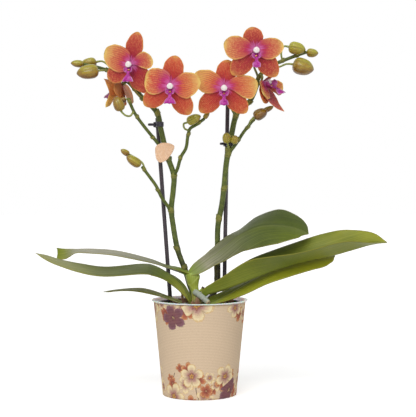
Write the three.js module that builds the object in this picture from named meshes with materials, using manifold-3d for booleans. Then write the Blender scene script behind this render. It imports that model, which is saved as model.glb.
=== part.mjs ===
// A moth orchid with two flower spikes, in a grow pot inside a white cover pot with a kraft paper sleeve.
// Millimetres, +Z up. The origin is the centre of the cover pot's base, and -Y is the side the flowers face.

import * as THREE from 'three';
import { mergeVertices } from 'three/addons/utils/BufferGeometryUtils.js';
import Module from 'manifold-3d';

const wasm = await Module();
wasm.setup();

// Driving dimensions
const GAP = 0.3; // air between pieces that touch on the real plant
const SLEEVE = { thickness: 0.5, bottom: 0.8, top: 104.3, baseRadius: 41.5, topRadius: 51.7 };
const POT = { height: 107.6, wall: 1.7, floor: 3, lipRadius: 54, foot: 1 };
const GROW_POT = { bottom: 3.3, top: 102, baseRadius: 34, topRadius: 46, wall: 1, floor: 1.2, flange: 1.6 };
const MEDIUM = { bottom: 6, edge: 94.5, middle: 97 };
const CROWN = { x: -4.5, y: -1 };
const SPIKE_LOW = 2.7; // radius of a flower spike near the plant
const SPIKE_HIGH = 1.6; // and at its tip
const BRANCH_RADIUS = 1.3;
const PEDICEL_RADIUS = 1.1;
const STAKE_RADIUS = 2;
const STAKE_FOOT = 22; // height of the stakes' lower ends, deep in the bark
const STEM_SIDES = 6; // faces round a spike or branch
const STALK_SIDES = 5; // and round a flower's or bud's stalk
const POT_SIDES = 32; // faces round the pots and the sleeve
const LEAF_THICKNESS = 2;
const LEAF_TIP = 0.6; // half-width that a leaf keeps at its tip
const TEPAL_THICKNESS = 0.9;
const PETAL_LAYER = 1.35; // the petals lie this far in front of the sepals
const COLUMN = { radius: 2.8, length: 7.5, start: 0.8 };
const TAG_THICKNESS = 1;

const COLOURS = {
  white: '#f1efec',
  kraft: '#cdb597',
  dark: '#26242a',
  bark: '#4c3424',
  crown: '#8fae3c',
  leaf: '#5f7c37',
  spike: '#6b8545',
  stake: '#2e2430',
  peach: '#f0c4a0',
  root: '#a9b3a0',
  bud: '#a0a040',
  sepal: '#c8454f',
  petal: '#dc7448',
  lip: '#a81f9a',
};

const plant = new THREE.Group();

function addPiece(name, geometry, colour, roughness = 0.5) {
  const material = new THREE.MeshStandardMaterial({ color: COLOURS[colour], roughness, metalness: 0 });
  const mesh = new THREE.Mesh(geometry, material);
  mesh.name = name;
  plant.add(mesh);
}

// Solids and the cuts that keep neighbours apart

function toSolid(geometry) {
  const bare = geometry.clone();
  bare.deleteAttribute('normal');
  bare.deleteAttribute('uv');
  const merged = mergeVertices(bare, 1e-4);
  const corners = merged.index.array;
  const kept = [];
  for (let i = 0; i < corners.length; i += 3) {
    const [a, b, c] = [corners[i], corners[i + 1], corners[i + 2]];
    if (a !== b && b !== c && c !== a) {
      kept.push(a, b, c);
    }
  }
  const vertProperties = new Float32Array(merged.attributes.position.array);
  return new wasm.Manifold(new wasm.Mesh({ numProp: 3, vertProperties, triVerts: new Uint32Array(kept) }));
}

function toGeometry(solid) {
  const mesh = solid.getMesh();
  const geometry = new THREE.BufferGeometry();
  geometry.setAttribute('position', new THREE.BufferAttribute(mesh.vertProperties, 3));
  geometry.setIndex(new THREE.BufferAttribute(mesh.triVerts, 1));
  geometry.computeVertexNormals();
  return geometry;
}

function join(...solids) {
  return solids.reduce((whole, solid) => whole.add(solid));
}

// The largest piece that is left of a solid once the others are cut out of it.
function cut(solid, ...cutters) {
  const rest = cutters.reduce((whole, cutter) => whole.subtract(cutter), solid);
  const pieces = rest.decompose();
  return pieces.reduce((best, piece) => (piece.volume() > best.volume() ? piece : best));
}

// Basic shapes

function vectors(points) {
  return points.map((point) => new THREE.Vector3(...point));
}

// A round tube along a smooth curve, whose radius goes evenly from the first of its radii to the second.
// Growing it moves its side and both its ends outwards. The spacing is that of its rings.
function tube(points, [startRadius, endRadius], { grow = 0, sides = STEM_SIDES, spacing = 14 } = {}) {
  const route = vectors(points);
  const before = route[0].clone().sub(route[1]).setLength(grow);
  const beyond = route.at(-1).clone().sub(route.at(-2)).setLength(grow);
  route[0].add(before);
  route.at(-1).add(beyond);
  const curve = new THREE.CatmullRomCurve3(route, false, 'centripetal');
  const steps = Math.max(2, Math.round(curve.getLength() / spacing));
  const section = new THREE.Shape(ring(startRadius, sides));
  const geometry = new THREE.ExtrudeGeometry(section, { steps, extrudePath: curve, bevelEnabled: false });
  const stations = curve.getSpacedPoints(steps);
  const position = geometry.attributes.position;
  const vertex = new THREE.Vector3();
  for (let i = 0; i < position.count; i += 1) {
    vertex.fromBufferAttribute(position, i);
    let nearest = 0;
    stations.forEach((station, index) => {
      if (vertex.distanceTo(station) < vertex.distanceTo(stations[nearest])) {
        nearest = index;
      }
    });
    const radius = THREE.MathUtils.lerp(startRadius, endRadius, nearest / steps) + grow;
    vertex.sub(stations[nearest]).setLength(radius).add(stations[nearest]);
    position.setXYZ(i, vertex.x, vertex.y, vertex.z);
  }
  return toSolid(geometry);
}

function ring(radius, sides) {
  const points = [];
  for (let i = 0; i < sides; i += 1) {
    const angle = (2 * Math.PI * i) / sides;
    points.push(new THREE.Vector2(radius * Math.cos(angle), radius * Math.sin(angle)));
  }
  return points;
}

// A solid of revolution about Z from (radius, height) points.
function turned(profile, segments) {
  const points = profile.map(([radius, height]) => new THREE.Vector2(radius, height));
  const geometry = new THREE.LatheGeometry(points, segments);
  geometry.rotateX(Math.PI / 2);
  return facingOut(geometry);
}

function facingOut(geometry) {
  const solid = toSolid(geometry);
  if (solid.volume() > 0) {
    return solid;
  }
  const flipped = geometry.clone();
  const corners = flipped.index.array;
  for (let i = 0; i < corners.length; i += 3) {
    [corners[i], corners[i + 1]] = [corners[i + 1], corners[i]];
  }
  return toSolid(flipped);
}

// A thin closed skin: front(u, v) and back(u, v) give its two faces, u along it and v across it.
function skin(rows, columns, front, back) {
  const positions = [];
  const corners = [];
  const width = columns + 1;
  const side = (rows + 1) * width;
  for (const face of [front, back]) {
    for (let i = 0; i <= rows; i += 1) {
      for (let j = 0; j <= columns; j += 1) {
        positions.push(...face(i / rows, (2 * j) / columns - 1));
      }
    }
  }
  const quad = (a, b, c, d) => corners.push(a, b, c, a, c, d);
  for (let i = 0; i < rows; i += 1) {
    for (let j = 0; j < columns; j += 1) {
      const a = i * width + j;
      quad(a, a + 1, a + 1 + width, a + width);
      quad(side + a, side + a + width, side + a + 1 + width, side + a + 1);
    }
  }
  for (let i = 0; i < rows; i += 1) {
    const left = i * width;
    const right = left + columns;
    quad(left, left + width, side + left + width, side + left);
    quad(right, side + right, side + right + width, right + width);
  }
  for (let j = 0; j < columns; j += 1) {
    const far = rows * width + j;
    quad(j, side + j, side + j + 1, j + 1);
    quad(far, far + 1, side + far + 1, side + far);
  }
  const geometry = new THREE.BufferGeometry();
  geometry.setAttribute('position', new THREE.Float32BufferAttribute(positions, 3));
  geometry.setIndex(corners);
  return facingOut(geometry);
}

// Half-width of a lobe along its length, 0 at both ends and 1 at the peak. A smaller bluntness is fuller.
function lobe(u, peak, bluntness) {
  const eased = u ** (Math.log(0.5) / Math.log(peak));
  return Math.sin(Math.PI * THREE.MathUtils.clamp(eased, 0, 1)) ** bluntness;
}

// Pot, grow pot and bark: their profiles are (radius, height) points.

function coneRadius(height, cone, low, high) {
  return THREE.MathUtils.mapLinear(height, low, high, cone.baseRadius, cone.topRadius);
}

function sleeveProfile() {
  const { thickness, bottom, top, baseRadius, topRadius } = SLEEVE;
  return [
    [baseRadius - thickness, bottom],
    [baseRadius, bottom],
    [topRadius, top],
    [topRadius - thickness, top],
    [baseRadius - thickness, bottom],
  ];
}

function coverPotProfile() {
  const outside = (height) => coneRadius(height, SLEEVE, SLEEVE.bottom, SLEEVE.top) - SLEEVE.thickness - GAP;
  const inside = (height) => outside(height) - POT.wall;
  const neck = SLEEVE.top + GAP;
  return [
    [0, 0],
    [outside(0) - POT.foot, 0],
    [outside(POT.foot), POT.foot],
    [outside(neck), neck],
    [POT.lipRadius - 1.4, neck + 0.5],
    [POT.lipRadius, neck + 1.3],
    [POT.lipRadius - 0.4, POT.height - 0.4],
    [POT.lipRadius - 1.4, POT.height],
    [inside(neck) + 0.6, POT.height - 1.2],
    [inside(neck - 2), neck - 2],
    [inside(POT.floor + 4), POT.floor + 4],
    [inside(POT.floor) - 4, POT.floor],
    [0, POT.floor],
  ];
}

function growPotProfile() {
  const outside = (height) => coneRadius(height, GROW_POT, GROW_POT.bottom, GROW_POT.top);
  const inside = (height) => outside(height) - GROW_POT.wall;
  const seat = GROW_POT.bottom + GROW_POT.floor;
  return [
    [0, GROW_POT.bottom],
    [outside(GROW_POT.bottom), GROW_POT.bottom],
    [outside(GROW_POT.top - 1.5), GROW_POT.top - 1.5],
    [outside(GROW_POT.top) + GROW_POT.flange, GROW_POT.top - 1.5],
    [outside(GROW_POT.top) + GROW_POT.flange, GROW_POT.top],
    [inside(GROW_POT.top), GROW_POT.top],
    [inside(seat), seat],
    [0, seat],
  ];
}

function mediumProfile() {
  const fit = (height) => {
    return coneRadius(height, GROW_POT, GROW_POT.bottom, GROW_POT.top) - GROW_POT.wall - GAP;
  };
  return [
    [0, MEDIUM.bottom],
    [fit(MEDIUM.bottom), MEDIUM.bottom],
    [fit(MEDIUM.edge), MEDIUM.edge],
    [fit(MEDIUM.edge) * 0.72, MEDIUM.middle],
    [fit(MEDIUM.edge) * 0.35, MEDIUM.middle - 1],
    [0, MEDIUM.middle],
  ];
}

// The short stem that carries the leaves. It narrows above the bark and opens into the top leaves' sheath.
function crown(grow = 0) {
  const profile = [
    [0, 84 - grow],
    [5, 86 - grow],
    [8, 95],
    [8, 101],
    [6, 107],
    [4.2, 113],
    [5.4, 121],
    [7.4, 129],
    [7.8, 133],
    [4.5, 135.5 + grow],
    [0, 136 + grow],
  ];
  const grown = profile.map(([radius, height]) => [radius > 0 ? radius + grow : 0, height]);
  return turned(grown, 12).translate([CROWN.x, CROWN.y, 0]);
}

// Leaves: each station is a point of the midrib, the half-width there, and how far the half towards -Y
// and the half towards +Y rise from level, in degrees.
const LEAVES = {
  leaf_right_top: {
    direction: 1,
    stations: [
      { at: [-0.5, -1, 133], width: 4.5, near: -30, far: 60 },
      { at: [8, -1.5, 146.5], width: 7, near: -50, far: 45 },
      { at: [19.5, -2.5, 158.5], width: 11, near: -76, far: 39 },
      { at: [33, -4, 170.5], width: 16, near: -72, far: 27 },
      { at: [45.5, -5, 180], width: 21, near: -66, far: 14 },
      { at: [66.5, -7, 189.3], width: 27, near: -56, far: 26 },
      { at: [88, -9, 190.8], width: 28, near: -44, far: 41 },
      { at: [103.5, -10, 189], width: 23, near: -38, far: 40 },
      { at: [115, -11, 185.5], width: 15, near: -36, far: 38 },
      { at: [122, -12, 181.3], width: 0.6, near: -35, far: 35 },
    ],
  },
  leaf_right_middle: {
    direction: 1,
    stations: [
      { at: [-1, -2, 107], width: 4, near: 30, far: 40 },
      { at: [9, -6.5, 114.5], width: 8, near: 60, far: 62 },
      { at: [20.5, -10, 118], width: 11.5, near: 74, far: 66 },
      { at: [33, -12, 122.3], width: 15, near: 76, far: 64 },
      { at: [56.5, -14, 132], width: 22, near: 66, far: 58 },
      { at: [79.5, -15, 141], width: 27, near: 40, far: 48 },
      { at: [103, -16, 148.5], width: 29, near: 26, far: 47 },
      { at: [126.5, -17, 154.5], width: 29, near: 21, far: 52 },
      { at: [149.5, -18, 159.7], width: 27, near: 22, far: 64 },
      { at: [170.5, -19, 165.8], width: 22, near: 16, far: 80 },
      { at: [192, -20, 171.8], width: 13, near: 6, far: 74 },
      { at: [208, -21, 172.3], width: 0.6, near: 0, far: 60 },
    ],
  },
  leaf_right_low: {
    direction: 1,
    stations: [
      { at: [-2, 1, 98.5], width: 5, near: 30, far: 40 },
      { at: [13, 1, 104], width: 7, near: -10, far: 50 },
      { at: [25, 0, 110], width: 9.5, near: -35, far: 30 },
      { at: [45.5, -1, 120.5], width: 15, near: -43, far: 12 },
      { at: [70.5, -1, 134], width: 20, near: -40, far: 6 },
      { at: [96, -2, 144.5], width: 23.5, near: -40, far: 4 },
      { at: [120, -3, 151], width: 22, near: -40, far: 0 },
      { at: [138, -5, 154], width: 15, near: -46, far: -4 },
      { at: [151.5, -7, 152.3], width: 0.6, near: -40, far: -5 },
    ],
  },
  leaf_left_long: {
    direction: -1,
    stations: [
      { at: [-7, -3, 96], width: 4.5, near: 30, far: 40 },
      { at: [-10.5, -7.5, 104], width: 5.5, near: 10, far: 40 },
      { at: [-14, -11, 114.5], width: 6.5, near: -30, far: 30 },
      { at: [-22, -14, 126.8], width: 9.5, near: -42, far: 10 },
      { at: [-34, -18, 137.3], width: 14, near: -32, far: -6 },
      { at: [-49, -22, 146.2], width: 20, near: -29, far: -8 },
      { at: [-64, -25, 148.6], width: 24, near: -24, far: -8 },
      { at: [-102.5, -32, 145.5], width: 26, near: -16, far: -6 },
      { at: [-129.5, -36, 149], width: 24, near: -15, far: -5 },
      { at: [-153, -39, 153.6], width: 17.5, near: -10, far: -2 },
      { at: [-168, -41, 158.4], width: 10, near: -8, far: 0 },
      { at: [-178, -42, 161.4], width: 0.6, near: -8, far: 0 },
    ],
  },
  leaf_left_top: {
    direction: -1,
    stations: [
      { at: [-8, -1, 133], width: 4.5, near: 40, far: 40 },
      { at: [-20, -1, 138.5], width: 7, near: 10, far: 30 },
      { at: [-37, -1, 144.6], width: 12, near: -2, far: 8 },
      { at: [-58, 0, 152.4], width: 18, near: -5, far: 2 },
      { at: [-94.5, 0, 160.8], width: 25, near: -5, far: 0 },
      { at: [-129, -1, 163.2], width: 24, near: -6, far: 0 },
      { at: [-148, -2, 163.8], width: 18, near: -18, far: -6 },
      { at: [-157.5, -3, 160.6], width: 12, near: -45, far: -25 },
      { at: [-158.5, -4, 151.6], width: 0.6, near: -60, far: -30 },
    ],
  },
  leaf_left_small: {
    direction: -1,
    stations: [
      { at: [-8, 1, 97.5], width: 4, near: 20, far: 40 },
      { at: [-24.5, 2, 104.6], width: 6, near: 0, far: 20 },
      { at: [-44, 3, 113], width: 7.5, near: -4, far: 8 },
      { at: [-61, 4, 117.8], width: 9, near: -4, far: 2 },
      { at: [-77.5, 5, 119], width: 9, near: -5, far: 0 },
      { at: [-96, 7, 117.6], width: 6.5, near: -5, far: -4 },
      { at: [-109.5, 8, 115.3], width: 0.6, near: -5, far: -4 },
    ],
  },
};

function leaf({ direction, stations }) {
  const midrib = new THREE.CatmullRomCurve3(vectors(stations.map(({ at }) => at)), false, 'catmullrom', 0.5);
  const shapes = stations.map(({ width, near, far }) => [width, near, far]);
  const shape = new THREE.CatmullRomCurve3(vectors(shapes), false, 'catmullrom', 0.5);
  const face = (u, v, depth) => {
    const along = midrib.getTangent(u);
    const near = new THREE.Vector3(0, -1, 0);
    near.addScaledVector(along, -near.dot(along)).normalize();
    const up = new THREE.Vector3().crossVectors(near, along).multiplyScalar(direction);
    const { x: width, y: nearRise, z: farRise } = shape.getPoint(u);
    const rise = THREE.MathUtils.degToRad(v < 0 ? nearRise : farRise);
    const outwards = v < 0 ? 1 : -1;
    const reach = Math.max(width, LEAF_TIP) * Math.abs(v);
    const middleRise = THREE.MathUtils.degToRad((nearRise - farRise) / 2);
    const tilt = v === 0 ? middleRise : rise * outwards;
    const normal = up.clone().multiplyScalar(Math.cos(tilt)).addScaledVector(near, -Math.sin(tilt));
    return midrib
      .getPoint(u)
      .addScaledVector(near, outwards * reach * Math.cos(rise))
      .addScaledVector(up, reach * Math.sin(rise))
      .addScaledVector(normal, -depth * (1 - 0.5 * v * v))
      .toArray();
  };
  const rows = Math.round(1.5 * (stations.length - 1));
  return skin(rows, 4, (u, v) => face(u, v, 0), (u, v) => face(u, v, LEAF_THICKNESS));
}

// Flower spikes and their branches, from the plant to the tip
const SPIKES = {
  left: [
    [-6, 2, 110],
    [-11, 4.5, 122],
    [-15.5, 6.5, 137],
    [-24.8, 8, 162.5],
    [-30.2, 9, 191],
    [-32.2, 9, 209],
    [-30, 8, 230.5],
    [-29.3, 7, 247],
    [-37, 6, 270.5],
    [-43.8, 5, 299],
    [-48.2, 3, 318],
    [-64, 0, 335.7],
    [-78.3, -3, 354.5],
    [-91.5, -5, 361],
    [-104, -7, 365.2],
    [-115, -8.5, 368.3],
    [-129, -9.5, 371.3],
  ],
  right: [
    [-3, 1, 99],
    [8, 7.5, 104],
    [16, 12, 113],
    [20, 15, 127],
    [20.4, 16, 160],
    [20.9, 15.5, 190],
    [25.5, 14, 215],
    [27.8, 13, 234],
    [30.5, 11, 262],
    [35.7, 9, 291],
    [42.4, 6, 319],
    [54.7, 2, 331.5],
    [62.5, -1, 345.7],
    [65.8, -3, 357],
    [71.5, -5, 363.5],
    [79, -6, 370],
    [90.3, -7, 374.3],
    [108, -9, 381],
    [119, -10, 384.6],
  ],
};

const BRANCHES = {
  branch_left_upper: {
    spike: 'left',
    points: [
      [-36, 6, 268],
      [-44, 4.5, 279],
      [-50, 1, 287],
      [-61.6, -8, 301.2],
      [-72, -14, 315.8],
      [-77, -17.5, 327],
      [-78.2, -17.5, 331.5],
    ],
  },
  branch_left_lower: {
    spike: 'left',
    points: [
      [-33.5, 8, 209],
      [-42.5, 2, 221.7],
      [-49, -2, 235.2],
      [-56.8, -5, 246.3],
      [-64, -8, 256],
    ],
  },
  branch_left_inner: {
    spike: 'left',
    points: [
      [-30, 7, 247],
      [-25.5, 1, 253.5],
      [-21, -4, 267.7],
      [-15.2, -7, 277.7],
      [-13, -10, 291],
      [-10.5, -12.5, 299],
      [-4, -15, 303],
      [5, -17.3, 309.4],
    ],
  },
  branch_right: {
    spike: 'right',
    points: [
      [32.5, 10, 272],
      [41.2, 4, 283],
      [49, 0, 295],
      [56.8, -4, 305],
      [62, -6.5, 311.5],
    ],
  },
};

function spike(side, grow = 0) {
  return tube(SPIKES[side], [SPIKE_LOW, SPIKE_HIGH], { grow });
}

function branch(name, grow = 0) {
  return tube(BRANCHES[name].points, [BRANCH_RADIUS, BRANCH_RADIUS * 0.9], { grow });
}

// Buds: a pointed egg from its base to its tip, on a curved stalk that comes from what carries it.
const BUDS = {
  bud_left_large: {
    on: 'left',
    base: [-112, -18, 363],
    tip: [-136.5, -20, 359.5],
    radius: 8,
    stalk: [[-101, -6.5, 364.5], [-106, -13, 364]],
  },
  bud_left_upper: {
    on: 'left',
    base: [-116.5, 1, 375.5],
    tip: [-135, 0, 371.5],
    radius: 5.8,
    stalk: [[-99, -6, 364], [-103, -3, 371], [-110, 0, 376]],
  },
  bud_left_end: {
    on: 'left',
    base: [-129.6, -9.6, 371.4],
    tip: [-144, -11.5, 372.4],
    radius: 4.1,
    stalk: [],
  },
  bud_upper_branch_front: {
    on: 'branch_left_upper',
    base: [-86.5, -25, 317.5],
    tip: [-92.5, -26, 333.5],
    radius: 6,
    stalk: [[-73.5, -15, 317.5], [-77, -20, 312.5], [-82, -24, 313]],
  },
  bud_upper_branch_back: {
    on: 'branch_left_upper',
    base: [-81.5, -16.5, 331.5],
    tip: [-91, -15, 329],
    radius: 3.2,
    stalk: [[-77.8, -17.5, 330], [-79, -17, 332]],
  },
  bud_lower_branch: {
    on: 'branch_left_lower',
    base: [-64.4, -8.2, 256.4],
    tip: [-81, -13.5, 266.8],
    radius: 5.9,
    stalk: [],
  },
  bud_lower_branch_end: {
    on: 'branch_left_lower',
    base: [-79.5, -3, 270.5],
    tip: [-88.5, -6, 276],
    radius: 3.4,
    stalk: [[-61.5, -7, 253.5], [-64.5, -1.5, 261], [-72, -1.5, 267]],
  },
  bud_inner_branch: {
    on: 'branch_left_inner',
    base: [-13.5, -18, 305.5],
    tip: [1, -22.5, 313],
    radius: 5,
    stalk: [[-12, -11.5, 297], [-16.5, -14, 299], [-17.5, -16.5, 304]],
  },
  bud_inner_branch_end: {
    on: 'branch_left_inner',
    base: [5.2, -17.5, 309.8],
    tip: [10.6, -18.5, 317.5],
    radius: 2.8,
    stalk: [],
  },
  bud_right_front: {
    on: 'right',
    base: [31.5, 1.5, 284],
    tip: [29.6, -2.5, 295.5],
    radius: 4.4,
    stalk: [[32.7, 9.5, 277], [32.5, 3.5, 280]],
  },
  bud_right_side: {
    on: 'right',
    base: [38.6, -1, 283],
    tip: [41, -4.5, 292],
    radius: 3.9,
    stalk: [[35.3, 9, 290], [37.4, 3.5, 288], [38, 0.5, 285]],
  },
  bud_right_branch: {
    on: 'branch_right',
    base: [61, -12, 311.5],
    tip: [74.5, -14, 319.5],
    radius: 5.6,
    stalk: [[54, -2.5, 301.5], [55.5, -7, 304.5], [57.5, -10.5, 308.5]],
  },
  bud_right_branch_end: {
    on: 'branch_right',
    base: [71, -4, 319],
    tip: [83, -7, 324.5],
    radius: 3,
    stalk: [[60.5, -5.5, 309.5], [65, -3.5, 314.5]],
  },
  bud_right_upper: {
    on: 'right',
    base: [99.5, -12, 390.5],
    tip: [118.5, -13.5, 386.5],
    radius: 6.6,
    stalk: [[93, -7, 375.3], [91.5, -9.5, 384], [94.5, -11.5, 391]],
  },
  bud_right_lower: {
    on: 'right',
    base: [104, -13, 370.8],
    tip: [127.5, -15, 364.2],
    radius: 9.2,
    stalk: [[80, -6, 370.3], [88, -11.5, 367.8], [97, -13, 371]],
  },
  bud_right_end: {
    on: 'right',
    base: [119.7, -10, 384.6],
    tip: [133, -11, 383.5],
    radius: 4.9,
    stalk: [],
  },
};

// Half a bud's outline, as shares of its radius and length
const BUD_OUTLINE = [
  [0, 0],
  [0.5, 0.03],
  [0.92, 0.24],
  [0.98, 0.5],
  [0.72, 0.78],
  [0, 1],
];

function bud({ base, tip, radius, stalk }) {
  const axis = new THREE.Vector3(...tip).sub(new THREE.Vector3(...base));
  const length = axis.length();
  const turn = new THREE.Quaternion().setFromUnitVectors(new THREE.Vector3(0, 1, 0), axis.normalize());
  const points = BUD_OUTLINE.map(([across, along]) => new THREE.Vector2(across * radius, along * length));
  const egg = facingOut(new THREE.LatheGeometry(points, STEM_SIDES).applyQuaternion(turn).translate(...base));
  if (stalk.length === 0) {
    return egg;
  }
  const inside = new THREE.Vector3(...base).addScaledVector(axis, 0.3 * length).toArray();
  const route = [...stalk, base, inside];
  return join(egg, tube(route, [PEDICEL_RADIUS, PEDICEL_RADIUS], { sides: STALK_SIDES, spacing: 6 }));
}

// Flowers: sepals and petals are given by direction in the flower's plane, length and half-width.
// The turn is about Z, positive towards +X, and the nod is how far the face looks down.
const FLOWERS = {
  flower_1: {
    on: 'left',
    centre: [-75.5, -30, 368.8],
    turn: -20,
    nod: 12,
    bowl: { lift: 8, bend: -16 },
    sepals: [
      { angle: 70.5, length: 36.5, width: 10.2 },
      { angle: 208, length: 31, width: 11 },
      { angle: -57, length: 38, width: 11 },
    ],
    petals: [
      { angle: 158, length: 32.5, width: 15 },
      { angle: 3, length: 28, width: 12.5 },
    ],
    stalk: [[-72, -3, 346], [-71.5, -10, 356], [-72.5, -19, 365]],
  },
  flower_2: {
    on: 'left',
    centre: [-31, -46, 343.1],
    turn: -5,
    nod: 12,
    bowl: { lift: 6, bend: -16 },
    sepals: [
      { angle: 79, length: 33, width: 11.5 },
      { angle: 215, length: 37, width: 11 },
      { angle: -57, length: 38, width: 11.2 },
    ],
    petals: [
      { angle: 168, length: 27, width: 14 },
      { angle: 6, length: 31, width: 14 },
    ],
    stalk: [[-48.3, 3, 318], [-43, -5, 322], [-37, -16, 331], [-32, -31, 341]],
  },
  flower_3: {
    on: 'right',
    centre: [26.9, -38, 342],
    turn: 0,
    nod: 12,
    bowl: { lift: 6, bend: -16 },
    sepals: [
      { angle: 82, length: 30.5, width: 11.2 },
      { angle: 226, length: 38, width: 10.8 },
      { angle: -48, length: 37.5, width: 10.8 },
    ],
    petals: [
      { angle: 163, length: 35.5, width: 13.5 },
      { angle: 4, length: 36, width: 13 },
    ],
    stalk: [[41.5, 6.5, 315], [37.5, -3, 319], [32.5, -15, 329], [28, -27, 339]],
  },
  flower_4: {
    on: 'right',
    centre: [61.4, -50, 381.4],
    turn: 2,
    nod: 12,
    bowl: { lift: 6, bend: -16 },
    sepals: [
      { angle: 104.5, length: 25, width: 11.2 },
      { angle: 226, length: 37.5, width: 11 },
      { angle: -51, length: 37, width: 11 },
    ],
    petals: [
      { angle: 170, length: 35, width: 11.6 },
      { angle: 7, length: 30, width: 11.6 },
    ],
    stalk: [[64, -2, 350.5], [61.5, -10, 355.5], [58.5, -24, 366], [60, -37, 377]],
  },
  flower_5: {
    on: 'left',
    centre: [-91.3, 4, 350.8],
    turn: -102.7,
    nod: 24.8,
    bowl: { lift: 20, bend: -10 },
    lipTilt: -45,
    sepals: [
      { angle: 90, length: 26, width: 11, bowl: { lift: 50, bend: -6 } },
      { angle: 237, length: 24, width: 12.5, bowl: { lift: 6, bend: -4 } },
      { angle: -57, length: 26, width: 12.5 },
    ],
    petals: [
      { angle: 200, length: 24, width: 11, bowl: { lift: 40, bend: -6 } },
      { angle: -60, length: 30, width: 11, bowl: { lift: 50, bend: -4 } },
    ],
    stalk: [[-62.8, 0.2, 334], [-68, -3, 333.6], [-71.5, -6, 337], [-77, -6.5, 344.5], [-82.5, -1, 350.8]],
  },
  flower_6: {
    on: 'right',
    centre: [72, -14, 349.5],
    turn: 60.3,
    nod: -12,
    bowl: { lift: 10, bend: -6 },
    lipTilt: -46,
    sepals: [
      { angle: 90, length: 18, width: 8.5, bowl: { lift: 70, bend: 6 } },
      { angle: 244, length: 26, width: 11, bowl: { lift: 4, bend: -6 } },
      { angle: -80, length: 38, width: 10, bowl: { lift: 20, bend: -4 } },
    ],
    petals: [
      { angle: 226, length: 21, width: 10, bowl: { lift: 14, bend: -30 } },
      { angle: -36, length: 22, width: 12, bowl: { lift: 42, bend: 6 } },
    ],
    stalk: [[66.2, -3.2, 358], [68.5, -7, 359.5], [70.3, -10.5, 357], [69.2, -12, 352.5]],
  },
};

const SEPAL_SHAPE = { peak: 0.5, bluntness: 0.6 };
const PETAL_SHAPE = { peak: 0.58, bluntness: 0.54 };
const TEPAL_START = 1.2; // a tepal starts this far from the flower's axis
const TEPAL_NECK = 1.1; // and its half-width is never under this
const BOWL_REACH = 35; // the bowl's bend is reached this far out
const RECEPTACLE = { radius: 2.9, depth: 2, behind: 1.6 };

// A point of the flat flower, and its height in front of it, moved on to the flower's bowl, which
// starts to lift at the receptacle's edge.
function onBowl(x, y, height, bowl) {
  const distance = Math.hypot(x, y);
  const lift = THREE.MathUtils.degToRad(bowl.lift);
  const bend = THREE.MathUtils.degToRad(bowl.bend) / BOWL_REACH;
  const beyond = distance - RECEPTACLE.radius;
  const slope = lift + bend * Math.max(beyond, 0);
  const arc = beyond > 0 ? (Math.sin(slope) - Math.sin(lift)) / bend : beyond;
  const radius = RECEPTACLE.radius + arc - height * Math.sin(beyond > 0 ? slope : 0);
  const forward = beyond > 0 ? (Math.cos(lift) - Math.cos(slope)) / bend : 0;
  const raised = forward + height * Math.cos(beyond > 0 ? slope : 0);
  return [(radius * x) / distance, (radius * y) / distance, raised];
}

function tepal({ angle, length, width, bowl }, shape, layer, flower, grow = 0) {
  const direction = THREE.MathUtils.degToRad(angle);
  const face = (u, v, offset) => {
    const eased = Math.sin((Math.PI / 2) * u) * 0.5 + u * 0.5;
    const along = TEPAL_START + eased * (length + grow - TEPAL_START);
    const across = v * (Math.max(width * lobe(eased, shape.peak, shape.bluntness), TEPAL_NECK) + grow);
    const x = along * Math.cos(direction) - across * Math.sin(direction);
    const y = along * Math.sin(direction) + across * Math.cos(direction);
    return onBowl(x, y, layer + offset, bowl ?? flower.bowl);
  };
  const half = TEPAL_THICKNESS / 2 + grow;
  return skin(6, 2, (u, v) => face(u, v, half), (u, v) => face(u, v, -half));
}

// From the flower's own axes, x to its side, y up its face and z out of its face, to the plant's.
function flowerPlacement({ centre, turn, nod }) {
  const faceOut = new THREE.Matrix4().makeRotationX(Math.PI / 2);
  const nodding = new THREE.Matrix4().makeRotationX(THREE.MathUtils.degToRad(nod));
  const turning = new THREE.Matrix4().makeRotationZ(THREE.MathUtils.degToRad(turn));
  return new THREE.Matrix4()
    .makeTranslation(...centre)
    .multiply(turning)
    .multiply(nodding)
    .multiply(faceOut);
}

function ellipsoid(radii, centre) {
  const geometry = new THREE.SphereGeometry(1, 7, 5);
  geometry.scale(...radii);
  geometry.translate(...centre);
  return facingOut(geometry);
}

function sepalWhorl(flower, grow = 0) {
  const sepals = flower.sepals.map((sepal) => tepal(sepal, SEPAL_SHAPE, 0, flower, grow));
  const { radius, depth, behind } = RECEPTACLE;
  return join(ellipsoid([radius + grow, radius + grow, depth + grow], [0, 0, -behind]), ...sepals);
}

function flowerSepals(flower) {
  const placement = flowerPlacement(flower);
  const whorl = sepalWhorl(flower).transform(placement.elements);
  const back = new THREE.Vector3(0, 0, -5).applyMatrix4(placement).toArray();
  const heart = new THREE.Vector3(0, 0, -RECEPTACLE.behind).applyMatrix4(placement).toArray();
  const route = [...flower.stalk, back, heart];
  const radii = [PEDICEL_RADIUS, PEDICEL_RADIUS * 1.25];
  return join(whorl, tube(route, radii, { sides: STALK_SIDES, spacing: 9 }));
}

// The two petals with the column that they grow from
function petalWhorl(flower, grow = 0) {
  const petals = flower.petals.map((petal) => tepal(petal, PETAL_SHAPE, PETAL_LAYER, flower, grow));
  const radius = COLUMN.radius + grow;
  const middle = COLUMN.start + COLUMN.length / 2;
  return join(ellipsoid([radius, radius, COLUMN.length / 2 + grow], [0, 0, middle]), ...petals);
}

function flowerPetals(flower) {
  return cut(petalWhorl(flower), sepalWhorl(flower, GAP)).transform(flowerPlacement(flower).elements);
}

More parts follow.
